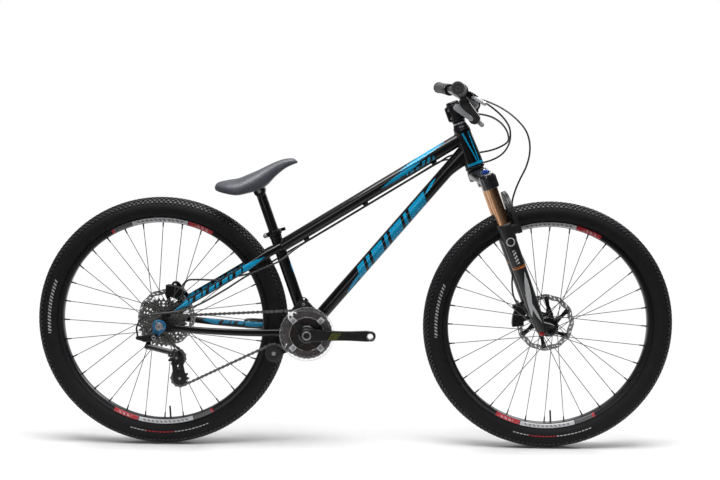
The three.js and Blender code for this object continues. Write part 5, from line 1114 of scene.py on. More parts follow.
def caliper(name, x, z, middle, half, low, high, disc_at, body, spot, hose_end):
    """Both halves round their arc of the disc, with bolts, pads and the hose's fitting"""
    boss_place = sideways_in(spot, *polar(73, np.radians(middle), x, z))
    forms = [plate([rounded(arc_block(60, 92.8, middle, half, x, z), 3, 3)], low, disc_at - 1.9, 2.6,
        spot), plate([rounded(arc_block(62, 92.4, middle, half - 1.5, x, z), 3, 3)], disc_at + 1.9, high,
        2.4, spot), plate([arc_block(82.5, 92.9, middle, half - 3, x, z)], disc_at - 3, disc_at + 3, 0.8,
        spot)]
    for k in range(5):
        turn = middle + (k - 2) * half * 0.34
        forms.append(plate([arc_block(63, 90, turn, 1.1, x, z, 4)], low - 0.1, low + 2.4, 0.5, spot))
    forms.append(collar(4, 12.5, high - 4, high - 0.2, 1.2, 3, boss_place, 40))
    piece(f"{name}_caliper_body", forms, caliper_black, body, "black_alloy", f"{name}_caliper")
    bolts = []
    for turn in (middle - half + 5, middle + half - 5):
        bolts.append(lathe([[0, low + 3], [3.6, low + 3], [3.6, high + 0.3], [2.2, high + 0.3],
            [1.8, high - 1.6], [0, high - 1.6]], 0.3, 2,
            sideways_in(spot, *polar(86.5, np.radians(turn), x, z)), 28))
    bolts.append(collar(0, 7.5, high - 1, high + 0.3, 0.4, 2, boss_place, 36))
    fitting, toward = np.array(hose_end[0], float), unit(np.array(hose_end[1]) - hose_end[0])
    bolts.append(rods(fitting - toward * 3, fitting + toward * 9, 3.6, 20, 3.2))
    piece(f"{name}_caliper_bolts", bolts, silver_polished, body, "silver_steel")
    pad = [arc_block(69.5, 84, middle, half * 0.55, x, z)]
    pads = [plate(pad, disc_at - 3.4, disc_at - 1.5, 0.3, spot),
        plate(pad, disc_at + 1.5, disc_at + 3.4, 0.3, spot)]
    piece(f"{name}_brake_pads", pads, pad_backing, body, "silver_steel")


caliper("front", OFFSET, 0, 145, 22, 27.8, 47.4, 41, "lower_legs", steer_frame,
    ([444.5, 38, 391.9], [446, 38, 398]))
caliper("rear", REAR_X, AXLE_UP, 72, 18.5, 36.4, 62.0, 52, "frame", np.eye(4),
    ([-481, 50, 424.4], [-475, 50, 433]))
post_bolts = [rods(steer(-24, 54, low + 6), steer(-28, 54, low + 6), 3.6, 20) for low in POST_FEET]
piece("front_post_bolts", post_bolts, silver_polished, "lower_legs", "silver_steel")

# Stem and handlebar. A forged clamp on the steerer over three spacers, a split faceplate
# with four bolts, and a butted bar with a low rise. Gloss and satin black anodising.
BAR_X, BAR_UP = 48, 638
stem_t = np.linspace(0, 1, 14)
stem_path = np.array([steer(BAR_X * t, 0, 631.5 + 6.5 * t) for t in stem_t])
waist = 1 - 0.14 * np.sin(stem_t * np.pi)
stem_forms = [sweep(stem_path, 19.6 * waist + 1.2 * stem_t, (22.8 - 2.2 * stem_t) * waist, 44,
    up=steer_up, power=3.4), collar(14.4, 19.8, 608.2, 654.8, 2.4, 4, steer_frame, 56),
    plate([arc_block(16.1, 21.9, 180, 88, BAR_X, BAR_UP, 26)], -21, 21, 1.2, steer_frame)]
for side in (-1, 1):
    stem_forms.append(loaf([-25.6, side * 6.9 - 4.9, 611.5], [-6, side * 6.9 + 4.9, 651.5], 5,
        steer_frame, 1.8))
bands = rounded([[15, 594], [19.8, 594], [17.3, 598.8], [17.3, 607.9], [15, 607.9]], 0.8, 3)
grooved = [turned(bands, steer_frame, 56)]
for low in (599.6, 603.8):
    grooved.append(collar(15, 17.7, low, low + 3.6, 0.7, 3, steer_frame, 56))
cap = lathe([[0, 653], [17.8, 653], [17.8, 659], [15.5, 661.6], [5.2, 661.9], [4.6, 660.2], [0, 660]],
    1.0, 3, steer_frame, 56)
piece("stem_forging", [*stem_forms, cap], black_anodised, "steering", "black_alloy", "stem", 40)
piece("stem_spacers", [grooved[0], grooved[2]], black_anodised, "steering", "black_alloy")
piece("bright_spacer", grooved[1:2], silver_polished, "steering", "silver_steel")
stem_bolts = []
for height in (620, 643):
    stem_bolts.append(rods(steer(-16, -12.4, height), steer(-16, -9, height), 4.2, 24))
    stem_bolts.append(rods(steer(-16, 9, height), steer(-16, 11.6, height), 3.4, 6))
stem_bolts.append(rods(steer(0, 0, 657), steer(0, 0, 661.4), 4.0, 24))
piece("stem_bolts", stem_bolts, silver_polished, "steering", "silver_steel")

face_x = BAR_X + 0.8
front_ring = arc_block((15.4, 16.1), (20.8, 21.9), 0, 88, face_x, BAR_UP, 26)
face_forms = [plate([front_ring], low, high, 1.3, steer_frame)
    for low, high in ((-21, -10.5), (10.5, 21))]
for side in (-1, 1):
    middle = BAR_UP + side * 21.8
    face_forms.append(loaf([48.9, -21, middle - 4.8], [55.6, 21, middle + 4.8], 2.4, steer_frame, 1.4))
    bridge = arc_block((15.6, 16.3), (20.2, 21.2), side * 30, 12, face_x, BAR_UP, 8)
    face_forms.append(plate([bridge], -12, 12, 0.8, steer_frame))
piece("stem_faceplate_forging", face_forms, black_anodised, "steering", "black_alloy", "stem_faceplate",
    40)
face_bolts = [rods(steer(53, y, up), steer(57.4, y, up), 3.5, 20) for y in (-15.5, 15.5)
    for up in (BAR_UP - 21.8, BAR_UP + 21.8)]
piece("stem_faceplate_bolts", face_bolts, black_anodised, "steering", "black_alloy")

RISE, END = np.array([28.0, 135, 681]), np.array([1.1, 370, 700.6])
bar_along = unit(END - RISE)
half_bar = [(BAR_X, 0, BAR_UP), (BAR_X, 22, BAR_UP), (47.8, 40, 639), (45.6, 54, 643.8),
    (34, 105.3, 671.1), RISE, RISE + bar_along * 24, RISE + bar_along * 90, END]
mirrored_bar = [(x, -y, z) for x, y, z in half_bar[:0:-1]]
bar_line = smooth_line([*mirrored_bar, *half_bar], 150)
bulge = np.clip((np.abs(bar_line[:, 1]) - 34) / 46, 0, 1)
bar_radius = 15.85 - 4.75 * bulge * bulge * (3 - 2 * bulge)
bar = sweep(carried(bar_line, steer_frame), bar_radius, bar_radius, 32, up=steer_ahead)
piece("handlebar_tube", [bar], metal("bar_satin_black", (0.012, 0.012, 0.013), 0.34, (1, 0.05, 1),
    coat=0.3, metallic=0.7), "steering", "black_alloy", "handlebar")

# Hand controls. Each side has a clamp with a hydraulic master cylinder, a two-finger brake
# lever on its pivot, and a ribbed rubber grip. The right side also carries the shifter.
lever_reach = np.array([0.647, 0.0, -0.763])
lever_reach = unit(lever_reach - (lever_reach @ bar_along) * bar_along)
hand_local = basis(lever_reach, bar_along, np.cross(lever_reach, bar_along), RISE)
hand_frame = steer_frame @ hand_local


def hand_piece(name, side, forms, *rest):
    """A piece whose forms are made for the left hand and mirrored for the right"""
    return piece(name, forms if side > 0 else [mirror(form) for form in forms], *rest)


def hand(*point):
    return in_frame(hand_frame, *point)


def grip_form():
    """Radius round the bar over its length: a fine diamond knurl between plain rings,
    15.05 mm and 0.75 mm times the product of two crossing waves"""
    length = np.linspace(108.2, 240.4, 150)
    y, a = length[:, None], turns(72)[None, :]
    knurl = np.maximum(0, np.cos(9 * a + y * 0.55)) * np.maximum(0, np.cos(9 * a - y * 0.55))
    ring = (y < 116) | (y > 232)
    groove = np.abs(y - 118.5) < 1.3
    radius = np.where(ring, 16.5, 15.05 + 0.75 * knurl) - groove * 0.9
    edge = np.minimum(y - 108.2, 240.4 - y)
    radius = radius - 1.6 * np.clip(1 - edge / 2.0, 0, 1) ** 2
    rows = np.stack([radius * np.cos(a), y + 0 * a, radius * np.sin(a)], -1)
    return placed(skin(rows), hand_frame)


grip_rubber = metal("grip_rubber", (0.055, 0.053, 0.054), 0.62, metallic=0.0)
light_plastic = metal("light_grey_plastic", (0.44, 0.45, 0.46), 0.42, metallic=0.0)
black_plastic = metal("black_plastic", (0.02, 0.02, 0.021), 0.42, metallic=0.0)
lever_grey = metal("lever_silver_grey", (0.56, 0.565, 0.58), 0.3, metallic=0.6)
blade_route = smooth_line([(36, 83, 0), (50, 103, 0), (64, 125, 0), (70, 158, 0), (68, 188, 0),
    (74, 211, 0)], 60)
blade_t = np.linspace(0, 1, 60)
clamp_hand = sideways_in(hand_frame)
for side, word in ((-1, "right"), (1, "left")):
    hand_piece(f"{word}_grip_rubber", side, [grip_form()], grip_rubber, "steering", "rubber",
        f"{word}_grip", 30)
    plug = rounded([[0, 239.4], [10.4, 239.4], [10.4, 240.9], [8.6, 240.9], [7.4, 240.3], [3.2, 240.3],
        [2.4, 240.7], [0, 240.7]], 0.4, 2, closed=False)
    hand_piece(f"{word}_bar_end_plug", side, [turned(plug, clamp_hand, 48)], black_plastic, "steering",
        "grey_plastic")
    body_forms = [collar(11.4, 16.9, 77.2, 88.8, 2.2, 4, clamp_hand, 48),
        lathe([[0, 26.2], [7.8, 26.2], [9.4, 30], [9.4, 58], [8.6, 62], [9.4, 66], [9.4, 73], [6.5, 77],
        [0, 77]], 1.6, 3, sideways_in(hand_frame, 27, 0), 40),
        loaf([12.5, 72.5, -7.8], [27.5, 88.6, 7.8], 4, hand_frame, 3),
        loaf([18, 75.4, 4.9], [43.6, 90.6, 8.1], 1.4, hand_frame, 1.2),
        loaf([18, 75.4, -8.1], [43.6, 90.6, -4.9], 1.4, hand_frame, 1.2),
        lathe([[0, 5.8], [8.3, 5.8], [8.3, 9.0], [0, 9.4]], 0.9, 3, shifted(hand_frame, 26, 44), 36),
        loaf([19.5, 32, -6], [34.5, 68, 6.6], 5, hand_frame, 5)]
    hand_piece(f"{word}_brake_master", side, body_forms, caliper_black, "steering", "black_alloy",
        f"{word}_brake_body", 40)
    small = [rods(hand(27, 14.4, 0), hand(27, 27, 0), 3.9, 6),
        rods(hand(36, 83, -8.6), hand(36, 83, 8.6), 3.0, 20),
        rods(hand(-13, 83, 0), hand(-17.6, 83, 0), 3.4, 20)]
    hand_piece(f"{word}_brake_fittings", side, small, silver_polished, "steering", "silver_steel")
    badge = lathe([[0, 9.0], [6.6, 9.0], [6.6, 9.7], [0, 9.8]], 0.2, 2, shifted(hand_frame, 26, 44), 36)
    hand_piece(f"{word}_reservoir_badge", side, [badge], light_plastic, "steering", "grey_plastic")
    width = 4.6 - 1.2 * blade_t + 1.4 * np.exp(-((blade_t - 0.55) / 0.3) ** 2)
    lever_forms = [sweep(carried(blade_route, hand_frame), 3.4 + 0.8 * (1 - blade_t), width, 28,
        up=hand_frame[:3, 2], power=2.6), collar(3.1, 6.9, -4.4, 4.4, 0.9, 3, shifted(hand_frame, 36, 83),
        40), turned(polar(5.0, np.radians(np.linspace(-90, 90, 14))), shifted(hand_frame, 73.6, 209.4))]
    hand_piece(f"{word}_lever_blade", side, lever_forms, lever_grey, f"{word}_lever", "silver_steel",
        f"{word}_brake_lever", 50)

pod_edge = rounded(strap(18.5, -23.6, 12.8, 62, -45, 14.8, 14), 3, 3)
pod_forms = [plate([pod_edge], 36.2, 59.8, 5.5, hand_frame),
    plate([rounded(strap(0, 0, 8, 18.5, -23.6, 9, 12), 2)], 55.2, 59.8, 1.6, hand_frame),
    collar(11.4, 15, 55.2, 64.8, 1.4, 3, clamp_hand, 48),
    collar(0, 9.5, 35.4, 38, 0.8, 2, sideways_in(hand_frame, 58, -43), 36)]
hand_piece("shifter_pod", -1, pod_forms, black_plastic, "steering", "grey_plastic", "shifter_body", 40)


def paddle(x, z, reach, degrees, hub, tip, low, high):
    """A flat arm from its pivot to a round pad with a raised disc"""
    a, b = polar(reach, np.radians(degrees), x, z)
    return [plate([rounded(strap(x, z, hub, a, b, tip, 14), 2)], low, high, 1.1, hand_frame),
        plate([circle(tip * 0.62, 24, a, b)], high - 0.6, high + 0.2, 0.3, hand_frame)]


hand_piece("thumb_paddle_blade", -1, paddle(55, -50, 46, 172, 6, 7.9, 60.4, 63.2), light_plastic,
    "thumb_paddle", "grey_plastic", "shift_thumb_paddle")
hand_piece("release_trigger_blade", -1, paddle(60, -44, 26, -12, 5, 5.9, 32.8, 35.6), light_plastic,
    "release_trigger", "grey_plastic", "shift_release_trigger")

# Seat post and clamp. An alloy post slides in the seat tube. Its round head lets the saddle
# tilt. A split collar with a quick-release lever and a silver nut grips it.
def seat_at(*point):
    return in_frame(seat_frame, *point)


HEAD_UP = 402.0
post_satin = metal("seat_post_satin", (0.014, 0.014, 0.015), 0.34, (1, 1, 0.1), coat=0.3, metallic=0.7)
piece("seat_post_tube", [lathe([[0, 151], [12.6, 151], [13.55, 153], [13.55, 392], [0, 402]], 1.0, 2,
    seat_frame, 56), lathe([[0, -18.9], [14.6, -18.9], [16, -17], [16, 17], [14.6, 18.9], [0, 18.9]], 0.8,
    3, sideways_in(seat_frame, 0, HEAD_UP), 64)], post_satin, "seat_post", "black_alloy", "seatpost")
post_bolt = [rods(seat_at(0, side * 18.2, HEAD_UP), seat_at(0, side * 19.2, HEAD_UP), 5.2, sides)
    for side, sides in ((-1, 28), (1, 6))]
piece("seat_post_bolt", post_bolt, silver_polished, "seat_post", "silver_steel")
collar_forms = [collar(16.2, 19.5, 275.2, 287.8, 1.4, 3, seat_frame, 56),
    collar(16.2, 19.9, 279, 284, 0.6, 2, seat_frame, 56)]
for side in (-1, 1):
    collar_forms.append(loaf([-30.8, side * 7.4 - 6.2, 276.3], [-16.6, side * 7.4 + 6.2, 286.8], 4,
        seat_frame, 1.6))
piece("seat_collar_clamp", collar_forms, black_anodised, "frame", "black_alloy", "seat_collar")
nut = [lathe([[0, -17], [4.6, -17], [5.6, -15.8], [5.6, -13.9], [0, -13.9]], 0.5, 2,
    sideways_in(seat_frame, -25, 281.5), 28),
    rods(seat_at(-25, -14, 281.5), seat_at(-25, 13.9, 281.5), 2.5, 16)]
piece("seat_collar_nut", nut, silver_polished, "frame", "silver_steel")
lever_line = smooth_line([(-25, 20.3, 281.5), (-7, 25.3, 281.5), (13, 23.3, 281.5), (30, 18.3, 281.5)],
    40)
along = np.linspace(0, 1, 40)
piece("clamp_lever_blade", [sweep(carried(lever_line, seat_frame), 2.5 - 0.9 * along ** 3,
    4.0 + 0.7 * np.sin(along * 2.6), 24, up=seat_up, power=2.5),
    collar(1.5, 5.6, 277.2, 285.8, 0.7, 3, shifted(seat_frame, -25, 20.3), 32)], black_anodised,
    "clamp_lever", "black_alloy", "seat_clamp_lever")

# Saddle. Foam under a stretched dark leather-look cover on a plastic shell. The tail kicks
# up, the nose is slim, and a sewn seam runs down each side of the crown.
STATIONS = np.array([  # x, top, underside, half width
    [-383, 711, 704.5, 9], [-376, 720, 698.5, 34], [-350, 727, 691.5, 57.5],
    [-320, 732.5, 687.5, 65.5], [-292, 744, 692.5, 61.5], [-267, 755, 699.5, 49.5],
    [-243, 767, 712.5, 35.5], [-217, 779.3, 740, 24.8], [-190, 787.2, 762, 19.6],
    [-170, 787.2, 772, 14.8], [-161, 781, 775.5, 6.5]], float)
pad_x, pad_top, pad_under = smooth_line(STATIONS[:, :3], 150).T[:, :, None]
pad_half = np.interp(pad_x, *smooth_line(STATIONS[:, [0, 3, 3]], 400)[:, :2].T)
SEAM = 0.66


def crowned():
    """A crowned pad over smooth stations. At an angle t round each section the half width
    is scaled by cos(t)^0.8 and the height runs 0.25 + 0.75 sin(t)^0.85 above the underside,
    or down to 0.03 below; a narrow groove follows each seam."""
    t = turns(144)[None, :]
    c, s = np.cos(t), np.sin(t)
    wide = np.sign(c) * np.abs(c) ** 0.8
    rise = np.where(s > 0, 0.25 + 0.75 * np.abs(s) ** 0.85, 0.25 - 0.22 * np.abs(s) ** 0.5)
    seam = np.exp(-((np.abs(wide) - SEAM) / 0.028) ** 2) * (s > 0)
    z = pad_under + (pad_top - pad_under) * rise - seam * 0.9
    return skin(np.stack([pad_x + 0 * t, wide * pad_half, z], -1))


def leather(name):
    """Satin leather-look vinyl: pebbled cells, fine creases and a soft sheen"""
    finish = Finish(name)
    cells = finish.add("ShaderNodeTexVoronoi", {"feature": "DISTANCE_TO_EDGE"},
        {"Vector": finish.place(), "Scale": 0.9})
    cloud = finish.noise(0.03, 3.0)
    base = finish.blend(cloud, (0.034, 0.036, 0.046), (0.058, 0.061, 0.074))
    return finish.surface(base_color=base, roughness=0.46 - cells * 0.12, specular_ior_level=0.5,
        normal=finish.bump(cells, 0.10, 0.6))


saddle_pad = piece("saddle_cover", [crowned()], leather("saddle_leather"), "seat", "cover", "saddle", 60)
seam_rise = 0.25 + 0.75 * (1 - SEAM ** 2.5) ** 0.425
seam_up = pad_under + (pad_top - pad_under) * seam_rise - 0.75
stitch_at = np.arange(14, 138, 2)
threads = []
for side in (-1, 1):
    points = np.concatenate([pad_x, side * SEAM * pad_half, seam_up], 1)
    threads.append(rods(points[stitch_at], points[stitch_at] * 0.25 + points[stitch_at + 1] * 0.75, 0.45,
        6))
piece("saddle_stitches", threads, metal("seam_thread", (0.10, 0.10, 0.11), 0.7, metallic=0.0), "seat",
    "cover")

# Hoses and housing. A hydraulic hose runs from each brake lever to its caliper, and the
# shift housing from the shifter to the derailleur. The last two follow the top tube, and
# all three are extruded nylon. Routes are in metres.
FRONT_HOSE = [(0.2917, 0.152, 0.9595), (0.2949, 0.1288, 0.9586), (0.318, 0.112, 0.955),
    (0.360, 0.097, 0.943), (0.402, 0.076, 0.922), (0.434, 0.054, 0.896), (0.456, 0.040, 0.868),
    (0.466, 0.035, 0.838), (0.467, 0.034, 0.806), (0.459, 0.037, 0.770), (0.443, 0.041, 0.734),
    (0.431, 0.043, 0.702), (0.424, 0.041, 0.670), (0.427, 0.036, 0.650), (0.424, 0.0355, 0.621),
    (0.423, 0.041, 0.593), (0.426, 0.042, 0.565), (0.428, 0.042, 0.534), (0.431, 0.045, 0.483),
    (0.430, 0.042, 0.445), (0.434, 0.039, 0.415), (0.4445, 0.038, 0.3919)]
REAR_HOSE = [(0.2917, -0.152, 0.9595), (0.2949, -0.1288, 0.9586), (0.314, -0.112, 0.952),
    (0.347, -0.097, 0.933), (0.379, -0.076, 0.907), (0.400, -0.050, 0.880), (0.407, -0.022, 0.852),
    (0.405, 0.012, 0.826), (0.393, 0.046, 0.803), (0.372, 0.066, 0.7875), (0.345, 0.068, 0.779),
    (0.303, 0.056, 0.778), (0.268, 0.036, 0.786), (0.236, 0.020, 0.787), (0.204, 0.008, 0.7731),
    (0.160, 0.006, 0.7459), (0.060, 0.006, 0.684), (-0.060, 0.006, 0.6098), (-0.118, 0.006, 0.574),
    (-0.150, 0.008, 0.5542), (-0.175, 0.024, 0.538), (-0.205, 0.042, 0.517), (-0.250, 0.050, 0.489),
    (-0.296, 0.048, 0.466), (-0.345, 0.046, 0.455), (-0.388, 0.049, 0.447), (-0.440, 0.050, 0.447),
    (-0.466, 0.050, 0.444), (-0.481, 0.050, 0.4244)]
SHIFT_HOUSING = [(0.2903, -0.1756, 0.916), (0.2925, -0.163, 0.9163), (0.301, -0.146, 0.916),
    (0.320, -0.129, 0.914), (0.345, -0.112, 0.908), (0.368, -0.092, 0.896), (0.386, -0.066, 0.880),
    (0.398, -0.040, 0.862), (0.402, -0.016, 0.842), (0.389, 0.004, 0.828), (0.365, 0.022, 0.816),
    (0.337, 0.032, 0.809), (0.303, 0.036, 0.805), (0.272, 0.031, 0.803), (0.246, 0.016, 0.797),
    (0.222, 0.000, 0.783), (0.204, -0.006, 0.7731), (0.160, -0.006, 0.7459), (0.060, -0.006, 0.684),
    (-0.060, -0.006, 0.6098), (-0.118, -0.006, 0.574), (-0.150, -0.008, 0.5542), (-0.175, -0.024, 0.537),
    (-0.205, -0.042, 0.515), (-0.287, -0.054, 0.478), (-0.350, -0.062, 0.438), (-0.417, -0.072, 0.400),
    (-0.462, -0.082, 0.384), (-0.497, -0.090, 0.379), (-0.545, -0.092, 0.372), (-0.573, -0.089, 0.356),
    (-0.583, -0.086, 0.337), (-0.581, -0.0846, 0.3146)]


def hose_skin(name):
    """Extruded nylon: faint rings along the length and a soft shine"""
    finish = Finish(name)
    x, y, z = finish.parts(finish.place())
    rings = (x + y + z).repeat(1.3) * 0.5
    base = finish.blend(finish.noise(0.05), (0.010, 0.010, 0.011), (0.022, 0.022, 0.024))
    return finish.surface(base_color=base, roughness=0.34 + finish.noise(0.6) * 0.1,
        specular_ior_level=0.5, normal=finish.bump(rings, 0.02))


def free_hose(name, route, node):
    """A tube along the route that stands for the CAD hose, fixed in the bike's frame on no body"""
    line = smooth_line(route, 420)
    mesh = piece(name, [sweep(line * 1000, 2.5, 2.5, 18, up=(0.31, 0.87, 0.39))],
        hose_skin(name + "_nylon"), None, "rubber", node, 60)
    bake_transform(mesh)


free_hose("front_hose_line", FRONT_HOSE, "front_brake_hose")
free_hose("rear_hose_line", REAR_HOSE, "rear_brake_hose")
free_hose("shift_housing_line", SHIFT_HOUSING, "shift_housing")

# Cassette. Eight stamped steel cogs from 11 to 32 teeth, spaced by rings on a splined
# freehub and held by a lockring. The larger cogs have lightening windows.
PITCH, CHAIN_Y, COG_GAP = 12.7, -57.0, 4.8
COG_TEETH = (11, 13, 15, 18, 21, 24, 28, 32)
cog_steel = metal("cog_steel", (0.23, 0.225, 0.22), 0.3)


def pitch_radius(teeth):
    return PITCH / 2 / np.sin(np.pi / teeth)


def sprocket(teeth, phase, x, z, tip=3.0, root=3.9):
    """Tooth outline: radius = pitch radius - root + (root + tip) * h, where h is 0 in the
    round gullets, the first of them at the phase angle, and 1 on each tooth's flat top."""
    angle = turns(teeth * 12)
    wave = 0.5 - 0.5 * np.cos(teeth * (angle - phase))
    lift = np.clip((wave - 0.12) / 0.80, 0, 1) ** 0.8
    radius = pitch_radius(teeth) - root + (root + tip) * lift
    return polar(radius[:, None], angle, x, z)


shell_x, shell_z = SHELL_AT[0], SHELL_AT[2]
SLIDE, UPPER, LOWER = (-219.0, 265.5), (-480.5, 250.5), (-472.5, 194.5)
WRAPS = [  # x, z, radius, turning: the circles that the chain passes round
    (REAR_X, AXLE_UP, pitch_radius(11), -1), (shell_x, shell_z, pitch_radius(32), -1),
    (*SLIDE, 24.8, 1), (*LOWER, pitch_radius(11), -1), (*UPPER, pitch_radius(11), 1)]


def chain_line(step=0.05):
    """Points all along the chain's path: straight lines that touch both circles, and the
    arcs between them. Also the length at which each arc is half done."""
    lines = []
    for k, (ax, az, ar, at) in enumerate(WRAPS):
        bx, bz, br, bt = WRAPS[(k + 1) % len(WRAPS)]
        turn = (np.arctan2(bz - az, bx - ax)
            + np.arcsin((at * ar - bt * br) / np.hypot(bx - ax, bz - az)))
        touch = np.array([np.sin(turn), -np.cos(turn)])
        lines.append((np.array([ax, az]) + at * ar * touch, np.array([bx, bz]) + bt * br * touch))
    parts, middles, length = [], [], 0.0
    for k, (x, z, radius, turning) in enumerate(WRAPS):
        start, end = lines[k - 1][1] - [x, z], lines[k][0] - [x, z]
        first, last = np.arctan2(start[1], start[0]), np.arctan2(end[1], end[0])
        swept = turning * ((turning * (last - first)) % (2 * np.pi))
        angle = first + np.linspace(0, swept, int(abs(swept) * radius / step) + 2)
        parts.append(polar(radius, angle, x, z))
        middles.append(length + abs(swept) * radius / 2)
        a, b = lines[k]
        parts.append(a + np.linspace(0, 1, 3)[1:-1, None] * (b - a))
        length += abs(swept) * radius + np.hypot(*(b - a))
    return np.concatenate([*parts, parts[0][:1]]), middles


route, arc_middles = chain_line()
run = np.concatenate([[0], np.cumsum(np.hypot(*np.diff(route, axis=0).T))])
LINKS = 2 * int(round(run[-1] / PITCH / 2))
link_step = run[-1] / LINKS


def pin_at(distance):
    return np.stack([np.interp(distance, run, route[:, axis]) for axis in (0, 1)], -1)


def gullet(index):
    """The angle of the pin nearest the middle of a circle's wrap, where a gullet belongs"""
    spot = pin_at(round(arc_middles[index] / link_step) * link_step)
    return np.arctan2(spot[1] - WRAPS[index][1], spot[0] - WRAPS[index][0])


cogs = []
for k, teeth in enumerate(COG_TEETH):
    radius, at = pitch_radius(teeth), CHAIN_Y + k * COG_GAP
    loops = [sprocket(teeth, gullet(0) if k == 0 else k * 0.4, REAR_X, AXLE_UP, 2.6, 3.6),
        circle(13 if k < 2 else 16.5, 40, REAR_X, AXLE_UP)]
    if teeth >= 21:
        for middle in np.degrees(turns(6) + k * 0.05):
            loops.append(rounded(arc_block(20.5, radius - 7.2, middle, 22, REAR_X, AXLE_UP, 6), 3, 2))
    cogs.append(plate(loops, at - 0.9, at + 0.9, 0.35))
    if k:
        cogs.append(collar(13, 17.2, at - COG_GAP + 0.8, at - 0.8, 0.4, 2, rear_place, 40))
piece("cassette_cogs", cogs, cog_steel, "cogs", "cog_steel", "cassette", 28)
lock = [lathe([[6.6, -63.8], [10.5, -63.8], [13.8, -61.2], [13.8, -58.6], [6.6, -58.6]], 0.6, 2,
    rear_place, 40), collar(6.6, 12.9, -58.7, -17.9, 0.6, 2, rear_place, 40)]
piece("cassette_lockring", lock, black_anodised, "cogs", "black_alloy")

# Chain. Side plates in pairs, dark inner ones and bright outer ones by turns, joined by
# rivets through rollers. It runs over the smallest cog, the ring, the slide and pulleys.
chain_dark = metal("chain_inner_dark", (0.11, 0.108, 0.105), 0.4, metallic=0.6)
chain_silver = metal("chain_outer_silver", (0.17, 0.165, 0.16), 0.34, metallic=0.6)
pins = pin_at((np.arange(LINKS) * link_step) % run[-1])


def link_plate(length, low, high):
    """A plate with two round ends and a waist, one pin at each end"""
    half = length / 2
    angle = np.linspace(-1.9, 1.9, 9)
    right = polar(3.95, angle, half)
    return plate([rounded(np.concatenate([right, [[0, 2.0]], -right, [[0, -2.0]]]), 0.8, 1)], low, high,
        0.25)


def along_chain(form, first):
    """The form set between each pair of pins, every second link from the first"""
    forms = []
    for k in range(first, LINKS, 2):
        a, b = pins[k], pins[(k + 1) % LINKS]
        dx, dz = (b - a) / np.hypot(*(b - a))
        forms.append(placed(form, basis([dx, 0, dz], [0, 1, 0], [-dz, 0, dx],
            [(a[0] + b[0]) / 2, CHAIN_Y, (a[1] + b[1]) / 2])))
    return forms


inner_links, outer_links = [], []
for side in (-1, 1):
    low, high = sorted((side * 1.45, side * 2.35))
    inner_links += along_chain(link_plate(link_step, low, high), 0)
    low, high = sorted((side * 2.45, side * 3.2))
    outer_links += along_chain(link_plate(link_step, low, high), 1)
pin_spots = np.insert(pins, 1, CHAIN_Y, axis=1)
rollers = rods(pin_spots - [0, 1.5, 0], pin_spots + [0, 1.5, 0], 3.75, 16)
rivets = rods(pin_spots - [0, 3.4, 0], pin_spots + [0, 3.4, 0], 1.7, 10)
piece("chain_inner_links", [*inner_links, rollers], chain_dark, "frame", "cog_steel", "chain", 40)
piece("chain_outer_links", [*outer_links, rivets], chain_silver, "frame", "silver_steel")

# Cranks. Forged black arms on a hollow spindle. The right one has a four-armed spider that
# carries a 32-tooth steel ring and a clear guard on four silver bolts.
BOLT_CIRCLE = 52.0
ring_edge = sprocket(32, gullet(1), shell_x, shell_z)
bolt_angles = np.radians([45, 135, 225, 315])
bolt_spots = np.insert(polar(BOLT_CIRCLE, bolt_angles, shell_x, shell_z), 1, 0, axis=1)
ring_black = metal("chainring_black", (0.05, 0.03, 0.026), 0.34, coat=0.2)
piece("chainring_teeth", [plate([ring_edge, circle(45.5, 96, shell_x, shell_z)], CHAIN_Y - 1.5,
    CHAIN_Y + 1.5, 0.6)], ring_black, "crankset", "black_alloy", "chainring", 30)
dish = [circle(46.5, 96, shell_x, shell_z), circle(25.2, 64, shell_x, shell_z)]
for turn in (176, 196, 216):
    dish.append(circle(2.4, 16, *polar(40, np.radians(turn), shell_x, shell_z)))
dish_lacquer = metal("ring_dish_lacquer", (0.022, 0.012, 0.010), 0.3, coat=0.5, metallic=0.4)
piece("chainring_dish", [plate(dish, -58.1, -56.6, 0.5)], dish_lacquer, "crankset", "black_alloy")


def clear_guard():
    """Clear polycarbonate with a milky rim and fine scuffs"""
    finish = Finish("clear_guard_plastic")
    radius = round_axis(finish, shell_x, shell_z)[2]
    rim = radius.between(71.5, 80).either(radius < 47)
    scuff = finish.noise(0.8, 5.0, finish.stretched((1.0, 1.0, 0.15)))
    shade = finish.blend(rim, (0.90, 0.90, 0.92), (0.96, 0.96, 0.98))
    return finish.surface(base_color=shade, roughness=rim * 0.25 + scuff * 0.08 + 0.03, ior=1.45,
        transmission_weight=0.9, alpha=rim * 0.5 + 0.34, normal=finish.bump(scuff, 0.02))


guard_edge = [circle(73.8, 144, shell_x, shell_z), circle(45.3, 96, shell_x, shell_z)]
piece("chain_guard_ring", [plate(guard_edge, -66.0, -62.8, 1.0)], clear_guard(), "crankset",
    "clear_plastic", "chain_guard", 30)
tabs = []
for angle, spot in zip(bolt_angles, bolt_spots):
    outward_way = np.array([np.cos(angle), 0, np.sin(angle)])
    tab_place = basis(outward_way, [0, 1, 0], np.cross(outward_way, [0, 1, 0]), spot)
    square = rounded([[-7.5, -8], [9.5, -7], [9.5, 7], [-7.5, 8]], 1.6, 3)
    tabs.append(plate([square, circle(4.4, 24)], -66.9, -66.05, 0.3, tab_place))
tab_plastic = metal("guard_tab_plastic", (0.62, 0.62, 0.65), 0.35, metallic=0.0)
piece("guard_tabs", tabs, tab_plastic, "crankset", "grey_plastic")
bolts = rods(bolt_spots + [0, -67.6, 0], bolt_spots + [0, -54.8, 0], 4.3, 28)
sockets = [plate([circle(4.9, 28, s[0], s[2]), circle(2.3, 6, s[0], s[2])], -68.6, -66.8, 0.4)
    for s in bolt_spots]
piece("chainring_bolts", [bolts, *sockets], silver_polished, "crankset", "silver_steel")


